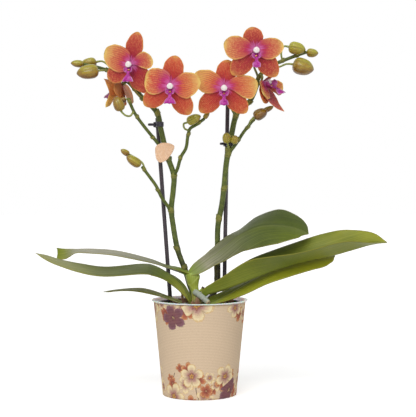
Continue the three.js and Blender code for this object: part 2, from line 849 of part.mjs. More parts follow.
// The lip runs from under the column forwards and down to its pointed middle lobe, with raised side lobes.
const LIP = [
  { at: [-3.4, 3.7], width: 1.6, rise: 0.6 },
  { at: [-5.4, 5.5], width: 4.2, rise: 3.2 },
  { at: [-7.8, 7.6], width: 4.6, rise: 3 },
  { at: [-10.4, 9.6], width: 2.6, rise: 0.8 },
  { at: [-13.2, 11.6], width: 6.4, rise: 0.2 },
  { at: [-15.6, 13.2], width: 5, rise: -0.4 },
  { at: [-17.4, 14.2], width: 1, rise: 0 },
];
const LIP_THICKNESS = 0.8;

function flowerLip(flower) {
  const line = new THREE.CatmullRomCurve3(vectors(LIP.map(({ at }) => [0, ...at])));
  const sides = new THREE.CatmullRomCurve3(vectors(LIP.map(({ width, rise }) => [width, rise, 0])));
  const root = new THREE.Vector3(0, ...LIP[0].at);
  const across = new THREE.Vector3(1, 0, 0);
  const tilt = THREE.MathUtils.degToRad(flower.lipTilt ?? 0);
  const face = (u, v, depth) => {
    const along = line.getTangent(u);
    const { x: width, y: rise } = sides.getPoint(u);
    return line
      .getPoint(u)
      .addScaledVector(across, v * width)
      .addScaledVector(new THREE.Vector3(0, along.z, -along.y), v * v * rise - depth)
      .sub(root)
      .applyAxisAngle(across, tilt)
      .add(root)
      .toArray();
  };
  const lip = skin(6, 4, (u, v) => face(u, v, 0), (u, v) => face(u, v, LIP_THICKNESS));
  const clear = cut(lip, sepalWhorl(flower, GAP), petalWhorl(flower, GAP));
  return clear.transform(flowerPlacement(flower).elements);
}

// Stakes, clips, tag and aerial roots
const STAKES = {
  left: { foot: [-27.5, 13.5, STAKE_FOOT], top: [-48.6, 14.5, 313] },
  right: { foot: [26.4, 17.5, STAKE_FOOT], top: [32.2, 20, 336] },
};

function stake(side, grow = 0) {
  const { foot, top } = STAKES[side];
  const direction = new THREE.Vector3(...top).sub(new THREE.Vector3(...foot)).normalize();
  const lower = new THREE.Vector3(...foot).addScaledVector(direction, -grow).toArray();
  const upper = new THREE.Vector3(...top).addScaledVector(direction, grow).toArray();
  return tube([lower, upper], [STAKE_RADIUS + grow, STAKE_RADIUS + grow], { sides: 8, spacing: 400 });
}

// A claw clip: a flat loop round the stake and the spike, with a finger grip that sticks out of it.
const CLIPS = {
  left: { height: 305.2, tall: 5.5, wall: 1.4, grip: { length: 8, turn: 188, tall: 2.8, thick: 3.4 } },
  right: { height: 283.6, tall: 5, wall: 1.4, grip: { length: 6.5, turn: 215, tall: 2.8, thick: 3.4 } },
};

const CLIP_EASE = 0.95; // room between the clip's loop and the stake and spike inside it

// The point of a spike's line at a height
function pointAt(points, height) {
  const curve = new THREE.CatmullRomCurve3(vectors(points), false, 'centripetal');
  const near = curve.getSpacedPoints(400);
  return near.reduce((best, p) => (Math.abs(p.z - height) < Math.abs(best.z - height) ? p : best));
}

// A slab between two heights with rounded ends, round the line from one point to another.
function slot(from, to, radius, low, high) {
  const line = new THREE.Vector2(to.x - from.x, to.y - from.y);
  const outline = new THREE.Shape();
  const heading = line.angle();
  outline.absarc(from.x, from.y, radius, heading + Math.PI / 2, heading + 1.5 * Math.PI);
  outline.absarc(to.x, to.y, radius, heading - Math.PI / 2, heading + Math.PI / 2);
  const solid = { depth: high - low, bevelEnabled: false, curveSegments: 5 };
  const geometry = new THREE.ExtrudeGeometry(outline, solid);
  return toSolid(geometry.translate(0, 0, low));
}

function clip(side) {
  const { height, tall, wall, grip } = CLIPS[side];
  const { foot, top } = STAKES[side];
  const share = (height - foot[2]) / (top[2] - foot[2]);
  const atStake = new THREE.Vector3(...foot).lerp(new THREE.Vector3(...top), share);
  const atSpike = pointAt(SPIKES[side], height);
  const inner = STAKE_RADIUS + CLIP_EASE;
  const low = height - tall / 2;
  const high = height + tall / 2;
  const band = slot(atStake, atSpike, inner + wall, low, high);
  const bore = slot(atStake, atSpike, inner, low - 1, high + 1);
  const angle = THREE.MathUtils.degToRad(grip.turn);
  const middle = new THREE.Vector3().addVectors(atStake, atSpike).multiplyScalar(0.5);
  const reach = inner + wall + grip.length;
  const end = new THREE.Vector3(Math.cos(angle), Math.sin(angle), 0).multiplyScalar(reach).add(middle);
  const fingers = slot(middle, end, grip.thick / 2, height - grip.tall / 2, height + grip.tall / 2);
  return join(band, fingers).subtract(bore);
}

// A rounded teardrop plate in front of the spike, with a hook behind it that grips the spike.
const TAG = {
  front: 0.9,
  outline: [
    [-50.2, 273],
    [-49.6, 279.5],
    [-44, 283.4],
    [-34.5, 283.6],
    [-28.6, 280.4],
    [-29.5, 275.5],
    [-33.5, 268.8],
    [-39, 263.4],
    [-45.2, 261.8],
    [-48.8, 265.8],
  ],
  hook: { height: 267, tall: 4, wall: 1.1, ease: 0.5 },
};

function tag() {
  const corners = [...TAG.outline, TAG.outline[0]].map(([x, z]) => new THREE.Vector2(x, z));
  const spline = new THREE.SplineCurve(corners);
  const outline = new THREE.Shape(spline.getPoints(16).slice(0, -1));
  const plate = new THREE.ExtrudeGeometry(outline, { depth: TAG_THICKNESS, bevelEnabled: false });
  plate.rotateX(Math.PI / 2);
  plate.translate(0, TAG.front, 0);
  const { hook } = TAG;
  const { height, tall, wall } = hook;
  const atSpike = pointAt(SPIKES.left, height);
  const behind = atSpike.clone().add(new THREE.Vector3(0, 0.2, 0));
  const front = new THREE.Vector3(atSpike.x, TAG.front - TAG_THICKNESS / 2, 0);
  const inner = SPIKE_LOW + GAP + hook.ease;
  const low = height - tall / 2;
  const body = slot(front, behind, inner + wall, low, low + tall);
  const forward = frontBlock(atSpike.x, TAG.front - TAG_THICKNESS, low - 1, tall + 2);
  const bore = slot(new THREE.Vector3(atSpike.x, atSpike.y, 0), behind, inner, low - 1, low + tall + 1);
  return join(facingOut(plate), cut(body, forward).subtract(bore));
}

// A block in front of the tag's face, which trims what would stand proud of it.
function frontBlock(x, face, low, tall) {
  const depth = 20;
  const block = new THREE.BoxGeometry(2 * depth, depth, tall);
  return toSolid(block.translate(x, face - depth / 2, low + tall / 2));
}

const ROOTS = {
  aerial_root_front: {
    radius: 2.9,
    points: [[-3.5, -3, 112], [-2.5, -9, 117], [3.5, -15, 112.5], [10.5, -18, 106.3]],
  },
  aerial_root_left: {
    radius: 2.3,
    points: [[-6, 0, 99], [-17, -9, 102], [-25, -21, 100.5], [-30, -28, 98]],
  },
  aerial_root_right: {
    radius: 2.2,
    points: [[-3, -4, 95], [8, -15, 98.5], [22, -23, 100], [33, -25, 98]],
  },
};

function root({ radius, points }, grow = 0) {
  return tube(points, [radius, radius * 0.85], { grow, spacing: 6 });
}

// Assembly

addPiece('cover_pot', toGeometry(turned(coverPotProfile(), POT_SIDES)), 'white', 0.35);
addPiece('kraft_sleeve', toGeometry(turned(sleeveProfile(), POT_SIDES)), 'kraft', 0.85);
addPiece('grow_pot', toGeometry(turned(growPotProfile(), POT_SIDES)), 'dark', 0.5);

const roots = Object.entries(ROOTS);
const grownRoots = roots.map(([, shape]) => root(shape, GAP));
const medium = cut(
  turned(mediumProfile(), POT_SIDES),
  crown(GAP),
  stake('left', GAP),
  stake('right', GAP),
  ...grownRoots,
);
addPiece('bark_medium', toGeometry(medium), 'bark', 0.95);
addPiece('plant_crown', toGeometry(crown()), 'crown', 0.45);
roots.forEach(([name, shape]) => addPiece(name, toGeometry(cut(root(shape), crown(GAP))), 'root', 0.6));

for (const side of ['left', 'right']) {
  addPiece(`flower_spike_${side}`, toGeometry(cut(spike(side), crown(GAP))), 'spike', 0.45);
  addPiece(`stake_${side}`, toGeometry(stake(side)), 'stake', 0.4);
  addPiece(`clip_${side}`, toGeometry(clip(side)), 'dark', 0.45);
}
addPiece('plant_tag', toGeometry(tag()), 'peach', 0.7);

const aroundLeaves = [crown(GAP), spike('left', GAP), spike('right', GAP), ...grownRoots];
for (const [name, shape] of Object.entries(LEAVES)) {
  addPiece(name, toGeometry(cut(leaf(shape), ...aroundLeaves)), 'leaf', 0.4);
}

for (const [name, { spike: side }] of Object.entries(BRANCHES)) {
  addPiece(name, toGeometry(cut(branch(name), spike(side, GAP))), 'spike', 0.45);
}

function carrier(name, grow) {
  return name in BRANCHES ? branch(name, grow) : spike(name, grow);
}

for (const [name, shape] of Object.entries(BUDS)) {
  addPiece(name, toGeometry(cut(bud(shape), carrier(shape.on, GAP))), 'bud', 0.45);
}

for (const [name, flower] of Object.entries(FLOWERS)) {
  addPiece(`${name}_sepals`, toGeometry(cut(flowerSepals(flower), carrier(flower.on, GAP))), 'sepal', 0.5);
  addPiece(`${name}_petals`, toGeometry(flowerPetals(flower)), 'petal', 0.5);
  addPiece(`${name}_lip`, toGeometry(flowerLip(flower)), 'lip', 0.45);
}

export default plant;
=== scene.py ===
# Potted moth orchid with two flower spikes: the looks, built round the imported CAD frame.
# Lengths in the dictionaries are millimetres in the CAD's own frame, and buildPiece turns them into metres.
import math
from functools import partial

import bmesh
import bpy
import numpy as np
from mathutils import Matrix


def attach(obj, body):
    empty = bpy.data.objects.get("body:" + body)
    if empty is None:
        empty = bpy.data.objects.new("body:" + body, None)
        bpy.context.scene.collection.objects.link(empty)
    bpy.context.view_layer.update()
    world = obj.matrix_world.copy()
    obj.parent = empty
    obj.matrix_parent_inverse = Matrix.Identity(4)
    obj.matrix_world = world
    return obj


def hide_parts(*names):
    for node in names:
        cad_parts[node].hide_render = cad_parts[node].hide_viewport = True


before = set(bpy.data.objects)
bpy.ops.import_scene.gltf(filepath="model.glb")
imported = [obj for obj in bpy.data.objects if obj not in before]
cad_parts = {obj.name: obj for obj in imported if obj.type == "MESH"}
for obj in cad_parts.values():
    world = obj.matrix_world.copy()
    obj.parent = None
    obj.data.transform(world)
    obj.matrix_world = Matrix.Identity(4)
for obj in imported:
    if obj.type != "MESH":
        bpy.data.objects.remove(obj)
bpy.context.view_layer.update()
print("frame loaded with", len(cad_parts), "nodes")

mm = 0.001
chance = np.random.default_rng(11)


# Nodes and colours

def hexToLinear(code):
    channels = [int(code[i:i + 2], 16) / 255 for i in (1, 3, 5)]
    return [c / 12.92 if c <= 0.04045 else ((c + 0.055) / 1.055) ** 2.4 for c in channels] + [1]


def addNode(tree, kind, inputs=None, output=0, stops=(), **settings):
    node = tree.nodes.new("ShaderNode" + kind)
    for key, value in settings.items():
        setattr(node, key, value)
    for i, (position, code) in enumerate(stops):
        ramp = node.color_ramp.elements
        stop = ramp[i] if i < 2 else ramp.new(position)
        stop.position, stop.color = position, hexToLinear(code)
    for key, value in (inputs or {}).items():
        if isinstance(value, bpy.types.NodeSocket):
            tree.links.new(value, node.inputs[key])
        else:
            node.inputs[key].default_value = hexToLinear(value) if isinstance(value, str) else value
    return node.outputs[output]


# A new material, what adds nodes to it, and its shader, with the even values set on the shader itself
def newMaterial(name, **shine):
    material = bpy.data.materials.new(name)
    material.use_nodes = True
    shader = material.node_tree.nodes["Principled BSDF"]
    for key, value in shine.items():
        shader.inputs[key].default_value = value
    return material, partial(addNode, material.node_tree), shader


# Lays each paint over the colour by its share, then links colour, roughness and relief; depth is in mm
def finishMaterial(material, shader, colour, roughness=None, height=None, depth=0.1, layers=()):
    links = material.node_tree.links
    for share, paint in layers:
        colour = addNode(material.node_tree, "Mix", {0: share, 6: colour, 7: paint}, output=2, data_type="RGBA")
    links.new(colour, shader.inputs["Base Color"])
    if roughness is not None:
        links.new(roughness, shader.inputs["Roughness"])
    if height is not None:
        bump = addNode(material.node_tree, "Bump", {"Height": height, "Distance": depth * mm, "Strength": 1})
        links.new(bump, shader.inputs["Normal"])
    return material


# Noise and ripple scales are given by the real size of one feature
def perMm(size):
    return 1 / (size * mm)


# Shapes: lists of points, faces and the marks that materials read at each point

def newShape():
    return {"points": [], "faces": [], "marks": [], "count": 0}


def addPart(shape, points, faces, marks):
    points = np.asarray(points, float).reshape(-1, 3)
    shape["faces"].extend((np.asarray(faces) + shape["count"]).tolist())
    shape["points"].append(points)
    shape["count"] += len(points)
    spread = {}
    for key, value in marks.items():
        value = np.asarray(value, float).reshape(-1)
        spread[key] = value if value.size == len(points) else np.full(len(points), value[0])
    shape["marks"].append(spread)


# The faces of a grid of points, whose columns close into a tube (around) and its rows into a ring (looped)
def gridFaces(rows, columns, around=False, looped=False):
    index = np.arange(rows * columns).reshape(rows, columns)
    if around:
        index = np.hstack([index, index[:, :1]])
    if looped:
        index = np.vstack([index, index[:1]])
    corners = [index[:-1, :-1], index[:-1, 1:], index[1:, 1:], index[1:, :-1]]
    return np.stack(corners, -1).reshape(-1, 4)


def addGrid(shape, points, around=False, looped=False, **marks):
    addPart(shape, points, gridFaces(*points.shape[:2], around, looped), marks)


# A thin closed skin between two grids of points. A mark is for both sides, or a pair for its front and back.
def addSkin(shape, front, back, **marks):
    rows, columns = front.shape[:2]
    count = rows * columns
    index = np.arange(count).reshape(rows, columns)
    edge = np.concatenate([index[0, :-1], index[:-1, -1], index[-1, :0:-1], index[:0:-1, 0]])
    after = np.roll(edge, -1)
    faces = gridFaces(rows, columns)
    sides = np.stack([edge, edge + count, after + count, after], -1)
    spread = {}
    for key, mark in marks.items():
        pair = mark if isinstance(mark, tuple) else (mark, mark)
        spread[key] = np.concatenate([np.broadcast_to(value, (rows, columns)).reshape(-1) for value in pair])
    points = np.concatenate([front.reshape(-1, 3), back.reshape(-1, 3)])
    addPart(shape, points, np.concatenate([faces, faces[:, ::-1] + count, sides]), spread)


def unit(vectors):
    return vectors / np.maximum(np.linalg.norm(vectors, axis=-1, keepdims=True), 1e-9)


# A smooth curve through the stations at the shares u of its way; even ones ease each step alike
def smoothCurve(stations, u, even=False):
    p = np.asarray(stations, float)
    p = np.vstack([2 * p[0] - p[1], p, 2 * p[-1] - p[-2]])
    t = np.clip(u, 0, 1) * (len(p) - 3)
    i = np.minimum(t.astype(int), len(p) - 4)
    w = (t - i)[..., None]
    a, b, c, d = p[i], p[i + 1], p[i + 2], p[i + 3]
    if even:
        leave, arrive = (c - a) / 2, (d - b) / 2
    else:
        gap = np.maximum(np.linalg.norm(np.diff(p, axis=0), axis=1), 1e-6) ** 0.5
        d0, d1, d2 = gap[i][..., None], gap[i + 1][..., None], gap[i + 2][..., None]
        leave = ((b - a) / d0 - (c - a) / (d0 + d1) + (c - b) / d1) * d1
        arrive = ((c - b) / d1 - (d - b) / (d1 + d2) + (d - c) / d2) * d1
    return b + leave * w + (3 * (c - b) - 2 * leave - arrive) * w ** 2 + (2 * (b - c) + leave + arrive) * w ** 3


# The same curve in steps of about one length
def evenLine(stations, step=1.2):
    fine = smoothCurve(stations, np.linspace(0, 1, 900))
    run = np.concatenate([[0], np.cumsum(np.linalg.norm(np.diff(fine, axis=0), axis=1))])
    places = np.linspace(0, run[-1], max(4, int(run[-1] / step)))
    return np.stack([np.interp(places, run, fine[:, k]) for k in range(3)], -1)


def axesAlong(line):
    heading = unit(np.gradient(line, axis=0))
    start = np.cross(heading[0], [0.3, -0.8, 0.5])
    side = [unit(start)]
    for direction in heading[1:]:
        side.append(unit(side[-1] - direction * (side[-1] @ direction)))
    side = np.array(side)
    return heading, side, np.cross(heading, side)


# A round stem along a line, closed by a dome at each end. Marks have a value for each point of the line.
def addStem(shape, line, radii, sides=16, domes=(0.6, 0.6), ribs=0, ribDepth=0.0, **marks):
    count = len(line)
    radii = np.broadcast_to(radii, count)
    heading, side, other = axesAlong(line)
    dome = np.radians([90, 60, 30])
    index = np.concatenate([[0] * 3, np.arange(count), [count - 1] * 3])
    shrink = np.concatenate([np.cos(dome), np.ones(count), np.cos(dome[::-1])])
    beyond = np.concatenate([-np.sin(dome) * domes[0], np.zeros(count), np.sin(dome[::-1]) * domes[1]])
    centre = line[index] + heading[index] * (beyond * radii[index])[:, None]
    turn = np.linspace(0, 2 * math.pi, sides, endpoint=False)
    ring = np.cos(turn)[None, :, None] * side[index][:, None] + np.sin(turn)[None, :, None] * other[index][:, None]
    wide = (radii[index] * shrink)[:, None] * (1 + ribDepth * np.cos(ribs * turn))[None]
    spread = {key: np.repeat(np.broadcast_to(value, count)[index], sides) for key, value in marks.items()}
    spread["turn"] = np.tile(turn, len(index))
    addGrid(shape, centre[:, None] + ring * wide[..., None], around=True, **spread)


# A turned solid from (radius, height) points
def addTurned(shape, profile, sides=96, centre=(0, 0), **marks):
    profile = np.asarray(profile, float)
    turn = np.linspace(0, 2 * math.pi, sides, endpoint=False)
    x = centre[0] + profile[:, :1] * np.sin(turn)[None]
    y = centre[1] - profile[:, :1] * np.cos(turn)[None]
    z = np.broadcast_to(profile[:, 1:2], x.shape)
    addGrid(shape, np.stack([x, y, z], -1), around=True, **marks)


# Each inner corner of a profile rounded over a distance
def softened(profile, cut):
    p = np.asarray(profile, float)
    made = [p[0]]
    for a, b, c in zip(p, p[1:], p[2:]):
        before = b + (a - b) * min(cut / np.linalg.norm(a - b), 0.45)
        after = b + (c - b) * min(cut / np.linalg.norm(c - b), 0.45)
        for t in (0, 0.25, 0.5, 0.75, 1):
            made.append((1 - t) ** 2 * before + 2 * t * (1 - t) * b + t * t * after)
    made.append(p[-1])
    return np.array(made)


# A lump between a ball (power 1) and a box (power near 0), turned by a matrix
def addLump(shape, centre, radii, turn=None, power=0.5, rows=12, columns=18, rough=0.0, **marks):
    up = np.linspace(-math.pi / 2, math.pi / 2, rows + 1)[:, None]
    about = np.linspace(0, 2 * math.pi, columns, endpoint=False)[None]
    bend = lambda value: np.sign(value) * np.abs(value) ** power
    x = bend(np.cos(up)) * bend(np.cos(about))
    y = bend(np.cos(up)) * bend(np.sin(about))
    z = bend(np.sin(up)) * np.ones_like(about)
    points = np.stack([x, y, z], -1)
    if rough:
        phase = chance.uniform(0, 6, 6)
        ripple = np.sin(points[..., 0] * 5 + phase[0]) * np.sin(points[..., 1] * 4 + phase[1])
        ripple = ripple + 0.6 * np.sin(points[..., 2] * 6 + points[..., 0] * 8 + phase[2])
        points = points * (1 + rough * ripple)[..., None]
    points = points * np.asarray(radii, float)
    if turn is not None:
        points = points @ np.asarray(turn).T
    addGrid(shape, points + np.asarray(centre, float), around=True, **marks)


def turnMatrix(about, degrees):
    angle = math.radians(degrees)
    x, y, z = unit(np.asarray(about, float))
    cross = np.array([[0, -z, y], [z, 0, -x], [-y, x, 0]])
    return np.eye(3) + math.sin(angle) * cross + (1 - math.cos(angle)) * cross @ cross


def ease(value, low, high):
    t = np.clip((np.asarray(value, float) - low) / (high - low), 0, 1)
    return t * t * (3 - 2 * t)


# Turns a shape into a piece that rides on the root body and stands for its CAD nodes
def buildPiece(name, shape, material, nodes):
    mesh = bpy.data.meshes.new(name)
    mesh.from_pydata((np.concatenate(shape["points"]) * mm).tolist(), [], shape["faces"])
    for key in sorted({key for part in shape["marks"] for key in part}):
        values = [part.get(key, np.zeros(len(points))) for part, points in zip(shape["marks"], shape["points"])]
        mesh.attributes.new(key, "FLOAT", "POINT").data.foreach_set("value", np.concatenate(values))
    work = bmesh.new()
    work.from_mesh(mesh)
    bmesh.ops.remove_doubles(work, verts=work.verts, dist=0.0005 * mm)
    bmesh.ops.recalc_face_normals(work, faces=work.faces)
    work.to_mesh(mesh)
    work.free()
    mesh.polygons.foreach_set("use_smooth", [True] * len(mesh.polygons))
    mesh.materials.append(material)
    piece = bpy.data.objects.new(name, mesh)
    bpy.context.scene.collection.objects.link(piece)
    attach(piece, "root")
    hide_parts(*nodes)
    return piece


# Cover pot: injection-moulded white polypropylene, whose rim flares over the paper sleeve
coverPot = {
    "height": 107.6, "wall": 1.7, "floor": 3, "lip": 54, "foot": 1, "neck": 105.2,
    "dip": 1.1,  # the soft rim hangs this much lower at the front
    "paintedGlowBelow": 103.5,  # the wall below this height gets a painted glow by emission, standing in for daylight through it
    "sleeveBottom": 0.8, "sleeveTop": 104.3, "sleeveBase": 41.5, "sleeveMouth": 51.7, "paper": 0.5,
}


def sleeveRadius(height):
    p = coverPot
    share = (np.asarray(height, float) - p["sleeveBottom"]) / (p["sleeveTop"] - p["sleeveBottom"])
    return p["sleeveBase"] + share * (p["sleeveMouth"] - p["sleeveBase"])


def whitePolypropylene():  # smooth, milky and half glossy, dulled by handling; a painted glow by emission on its wall stands in for daylight shining through
    material, add, shader = newMaterial("whitePolypropylene", **{
        "IOR": 1.49, "Subsurface Weight": 0.5, "Subsurface Scale": 0.02, "Emission Strength": 1})
    place = add("TexCoord", output=3)
    height = add("SeparateXYZ", {0: place}, output=2)
    # painted light: below the neck the wall glows grey by emission, as if lit through from outside
    edge = coverPot["paintedGlowBelow"]
    paintedGlowShare = add("MapRange", {0: height, 1: edge * mm, 2: (edge + 2) * mm, 3: 1, 4: 0})
    glow = add("Mix", {0: paintedGlowShare, 6: "#000000", 7: "#7d787b"}, output=2, data_type="RGBA")
    material.node_tree.links.new(glow, shader.inputs["Emission Color"])
    cloud = add("TexNoise", {"Vector": place, "Scale": perMm(30), "Detail": 3})
    colour = add("ValToRGB", {0: cloud}, stops=[(0.3, "#faf9f7"), (0.75, "#f3f1ee")])
    scuff = add("TexNoise", {"Vector": place, "Scale": perMm(2.5), "Detail": 4})
    rough = add("MapRange", {0: scuff, 1: 0.3, 2: 0.7, 3: 0.3, 4: 0.42})
    return finishMaterial(material, shader, colour, rough, scuff, 0.02)


def makeCoverPot():
    p = coverPot
    outside = lambda height: float(sleeveRadius(height)) - p["paper"] - 0.3
    inside = lambda height: outside(height) - p["wall"]
    neck = p["neck"]
    profile = [
        [0, 1.2], [outside(0) - 7, 1.2], [outside(0) - 5.5, 0], [outside(0) - p["foot"], 0],
        [outside(1), 1], [outside(neck), neck], [p["lip"] - 1.3, neck + 0.4], [p["lip"], neck + 0.9],
        [p["lip"] + 0.05, p["height"] - 0.6], [p["lip"] - 0.6, p["height"]], [p["lip"] - 2, p["height"] - 0.1],
        [inside(neck) + 0.9, p["height"] - 1.4], [inside(neck - 2), neck - 2.5],
        [inside(p["floor"] + 4), p["floor"] + 4], [inside(p["floor"]) - 4, p["floor"]], [0, p["floor"]],
    ]
    shape = newShape()
    addTurned(shape, softened(profile, 0.7), sides=160)
    points = shape["points"][0]
    front = np.clip(-points[:, 1] / p["lip"], 0, 1) ** 2
    points[:, 2] -= p["dip"] * front * np.clip((points[:, 2] - neck) / (p["height"] - neck), 0, 1)
    buildPiece("coverPot", shape, whitePolypropylene(), ["cover_pot"])


makeCoverPot()
print("cover pot made")


# Paper sleeve: ribbed kraft, wrapped once round with its ends lapped at the back, printed with a blossom border
paperSleeve = {
    "lap": 13, "meanRadius": 46.6,  # the lap is how far its ends overlap
    "rib": 1.7,  # real ribs are near 1 mm apart, drawn coarser to show
    # layers: spacing of the blossoms in mm, shift of the layer, inks, and what share of them is drawn
    "layers": [(13, 31, ("cream", "russet"), 0.6), (17, 57, ("russet", "cream"), 0.5),
               (20, 83, ("cream", "russet"), 0.55), (31, 12, ("cream", "plum"), 0.9)],
    # borders: height of the edge, how far it swings, its waves round the pot, where a wave starts, the side drawn
    "borders": [(34, 11, 5, -24, "LESS_THAN"), (88, -19, 2, -57, "GREATER_THAN")],
    "ink": {
        "cream": [(0.0, "#5a2f3a"), (0.12, "#e9b54a"), (0.2, "#8c4a48"), (0.42, "#c1958a"), (0.66, "#e6cda4"),
                  (0.86, "#f5e5bb"), (1.0, "#dcae5c")],
        "plum": [(0.0, "#f0cf86"), (0.12, "#5a2f3d"), (0.3, "#7c4652"), (0.7, "#6e3f4e"), (0.92, "#86566a"),
                 (1.0, "#5b3646")],
        "russet": [(0.0, "#f4dc9a"), (0.14, "#7c3430"), (0.4, "#a5503c"), (0.7, "#bd6b4a"), (0.9, "#d9a06c"),
                   (1.0, "#94523c")],
    },
}


# One layer of five-petalled blossoms scattered over the paper, kept where a blossom's centre is in a border
def addBlossoms(add, place, spacing, shift, under, inks, share):
    p = paperSleeve
    moved = add("VectorMath", {0: place, 1: (shift, shift * 0.6, 0)}, operation="ADD")
    cell = {"Vector": moved, "Scale": 1 / spacing, "Randomness": 0.7}
    centre = add("TexVoronoi", cell, output=2, voronoi_dimensions="2D")
    tint = add("TexVoronoi", cell, output=1, voronoi_dimensions="2D")
    local = add("VectorMath", {0: moved, 1: centre}, operation="SUBTRACT")
    x, y = (add("SeparateXYZ", {0: local}, output=k) for k in (0, 1))
    dice = [add("SeparateXYZ", {0: tint}, output=k) for k in range(3)]
    angle = add("Math", {0: y, 1: x}, operation="ARCTAN2")
    spun = add("Math", {0: dice[0], 1: 6.28, 2: angle}, operation="MULTIPLY_ADD")
    fold = add("Math", {0: spun, 1: 2.5}, operation="MULTIPLY")  # the waves' both signs make petals, five in all
    fold = add("Math", {0: fold}, operation="COSINE")
    petal = add("Math", {0: add("Math", {0: fold}, operation="ABSOLUTE"), 1: 0.5}, operation="POWER")
    size = add("MapRange", {0: dice[1], 3: spacing * 0.42, 4: spacing * 0.6})
    outline = add("Math", {0: size, 1: add("MapRange", {0: petal, 3: 0.42, 4: 1})}, operation="MULTIPLY")
    wash = add("TexNoise", {"Vector": place, "Scale": 0.55, "Detail": 4, "Roughness": 0.65})
    reach = add("Math", {0: add("VectorMath", {0: local}, output=1, operation="LENGTH"), 1: outline},
                operation="DIVIDE")
    reach = add("Math", {0: wash, 1: 0.5, 2: add("Math", {0: reach, 1: -0.25}, operation="ADD")},
                operation="MULTIPLY_ADD")
    inside = add("MapRange", {0: reach, 1: 0.95, 2: 1.03, 3: 1, 4: 0})
    home = add("VectorMath", {0: centre, 1: (-shift, -shift * 0.6, 0)}, operation="ADD")
    homeX, homeY = (add("SeparateXYZ", {0: home}, output=k) for k in (0, 1))
    zones = []
    for middle, swing, waves, start, kind in p["borders"]:
        phase = add("Math", {0: add("Math", {0: homeX, 1: -start}, operation="ADD"), 1: waves / p["meanRadius"]},
                    operation="MULTIPLY")
        wave = add("Math", {0: phase}, operation="COSINE")
        edge = add("Math", {0: wave, 1: swing, 2: middle}, operation="MULTIPLY_ADD")
        zones.append(add("Math", {0: homeY, 1: edge}, operation=kind))
    drawn = add("Math", {0: zones[0], 1: zones[1]}, operation="MAXIMUM")
    drawn = add("Math", {0: drawn, 1: add("Math", {0: dice[2], 1: share}, operation="LESS_THAN")},
                operation="MULTIPLY")
    drawn = add("Math", {0: drawn, 1: inside}, operation="MULTIPLY")
    pick = add("Math", {0: dice[0], 1: 0.68}, operation="GREATER_THAN")
    ink = add("Mix", {0: pick, 6: add("ValToRGB", {0: reach}, stops=p["ink"][inks[0]]),
                      7: add("ValToRGB", {0: reach}, stops=p["ink"][inks[1]])}, output=2, data_type="RGBA")
    pleat = add("MapRange", {0: petal, 1: 0.35, 2: 0.75, 3: 0.5, 4: 0})
    ink = add("Mix", {0: pleat, 6: ink, 7: "#7d4a45"}, output=2, data_type="RGBA")
    return add("Mix", {0: drawn, 6: under, 7: ink}, output=2, data_type="RGBA")


def ribbedKraftPaper():  # unbleached brown paper, dull and fibrous, with fine level ribs, painted shade in the troughs between them, and thin printed inks
    p = paperSleeve
    material, add, shader = newMaterial("ribbedKraftPaper", IOR=1.5, Roughness=0.85)
    around, up = (add("Attribute", output=2, attribute_name=key) for key in ("around", "up"))
    place = add("CombineXYZ", {0: around, 1: up})
    grain = add("CombineXYZ", {0: around, 1: add("Math", {0: up, 1: 5}, operation="MULTIPLY")})
    fibre = add("TexNoise", {"Vector": grain, "Scale": 0.5, "Detail": 4})  # fibres about 2 mm long that lie level
    paper = add("ValToRGB", {0: fibre}, stops=[(0.25, "#d6bb9a"), (0.5, "#e3caac"), (0.75, "#ead5bb")])
    ribs = add("Math", {0: add("Math", {0: up, 1: 2 * math.pi / p["rib"]}, operation="MULTIPLY")},
               operation="SINE")
    # painted shade: the paper is darkened in the troughs between the ribs
    shade = add("MapRange", {0: ribs, 1: -1, 2: 1, 3: 0.0, 4: 0.24})
    paper = add("Mix", {0: shade, 6: paper, 7: "#b89c7c"}, output=2, data_type="RGBA")
    sway = add("Math", {0: add("Math", {0: up, 1: 0.11}, operation="MULTIPLY")}, operation="SINE")
    stemGap = add("Math", {0: add("Math", {0: sway, 1: 4, 2: around}, operation="MULTIPLY_ADD"), 1: 15.5},
                  operation="PINGPONG")
    stem = add("MapRange", {0: stemGap, 1: 0.3, 2: 0.6, 3: 1, 4: 0})
    stem = add("Math", {0: stem, 1: add("Math", {0: up, 1: 30}, operation="LESS_THAN")}, operation="MULTIPLY")
    drawing = add("Mix", {0: stem, 6: paper, 7: "#5a3d3a"}, output=2, data_type="RGBA")
    for spacing, shift, inks, share in p["layers"]:
        drawing = addBlossoms(add, place, spacing, shift, drawing, inks, share)
    # painted shade: the print is darkened in the rib troughs too
    shade = add("Math", {0: shade, 1: 0.7}, operation="MULTIPLY")
    inked = add("Mix", {0: shade, 6: drawing, 7: "#b89c7c"}, output=2, data_type="RGBA")
    outer = add("Attribute", output=2, attribute_name="outer")
    relief = add("Math", {0: ribs, 1: 0.5, 2: fibre}, operation="MULTIPLY_ADD")
    return finishMaterial(material, shader, paper, None, relief, 0.12, [(outer, inked)])


def makePaperSleeve():
    p = coverPot
    meanRadius = paperSleeve["meanRadius"]
    lapTurn = paperSleeve["lap"] / meanRadius
    turn = np.linspace(-math.pi - lapTurn / 2, math.pi + lapTurn / 2, 260)[None]
    top = p["sleeveTop"] + 0.7 * np.cos(turn / 2) ** 4  # cut a little high at the front
    height = p["sleeveBottom"] + np.linspace(0, 1, 42)[:, None] * (top - p["sleeveBottom"])
    raised = 0.62 * ease(turn, math.pi - lapTurn * 0.75, math.pi - lapTurn * 0.4)  # the outer end lies on the inner
    spring = 0.35 * ease(turn, math.pi + lapTurn * 0.1, math.pi + lapTurn / 2)  # and springs away a little
    radius = sleeveRadius(height) + raised + spring
    layers = []
    for depth in (0, p["paper"]):
        r = radius - depth
        layers.append(np.stack([r * np.sin(turn), -r * np.cos(turn), height], -1))
    shape = newShape()
    addSkin(shape, *layers, around=turn * meanRadius, up=height, outer=(1, 0))
    buildPiece("kraftSleeve", shape, ribbedKraftPaper(), ["kraft_sleeve"])


makePaperSleeve()
print("paper sleeve made")


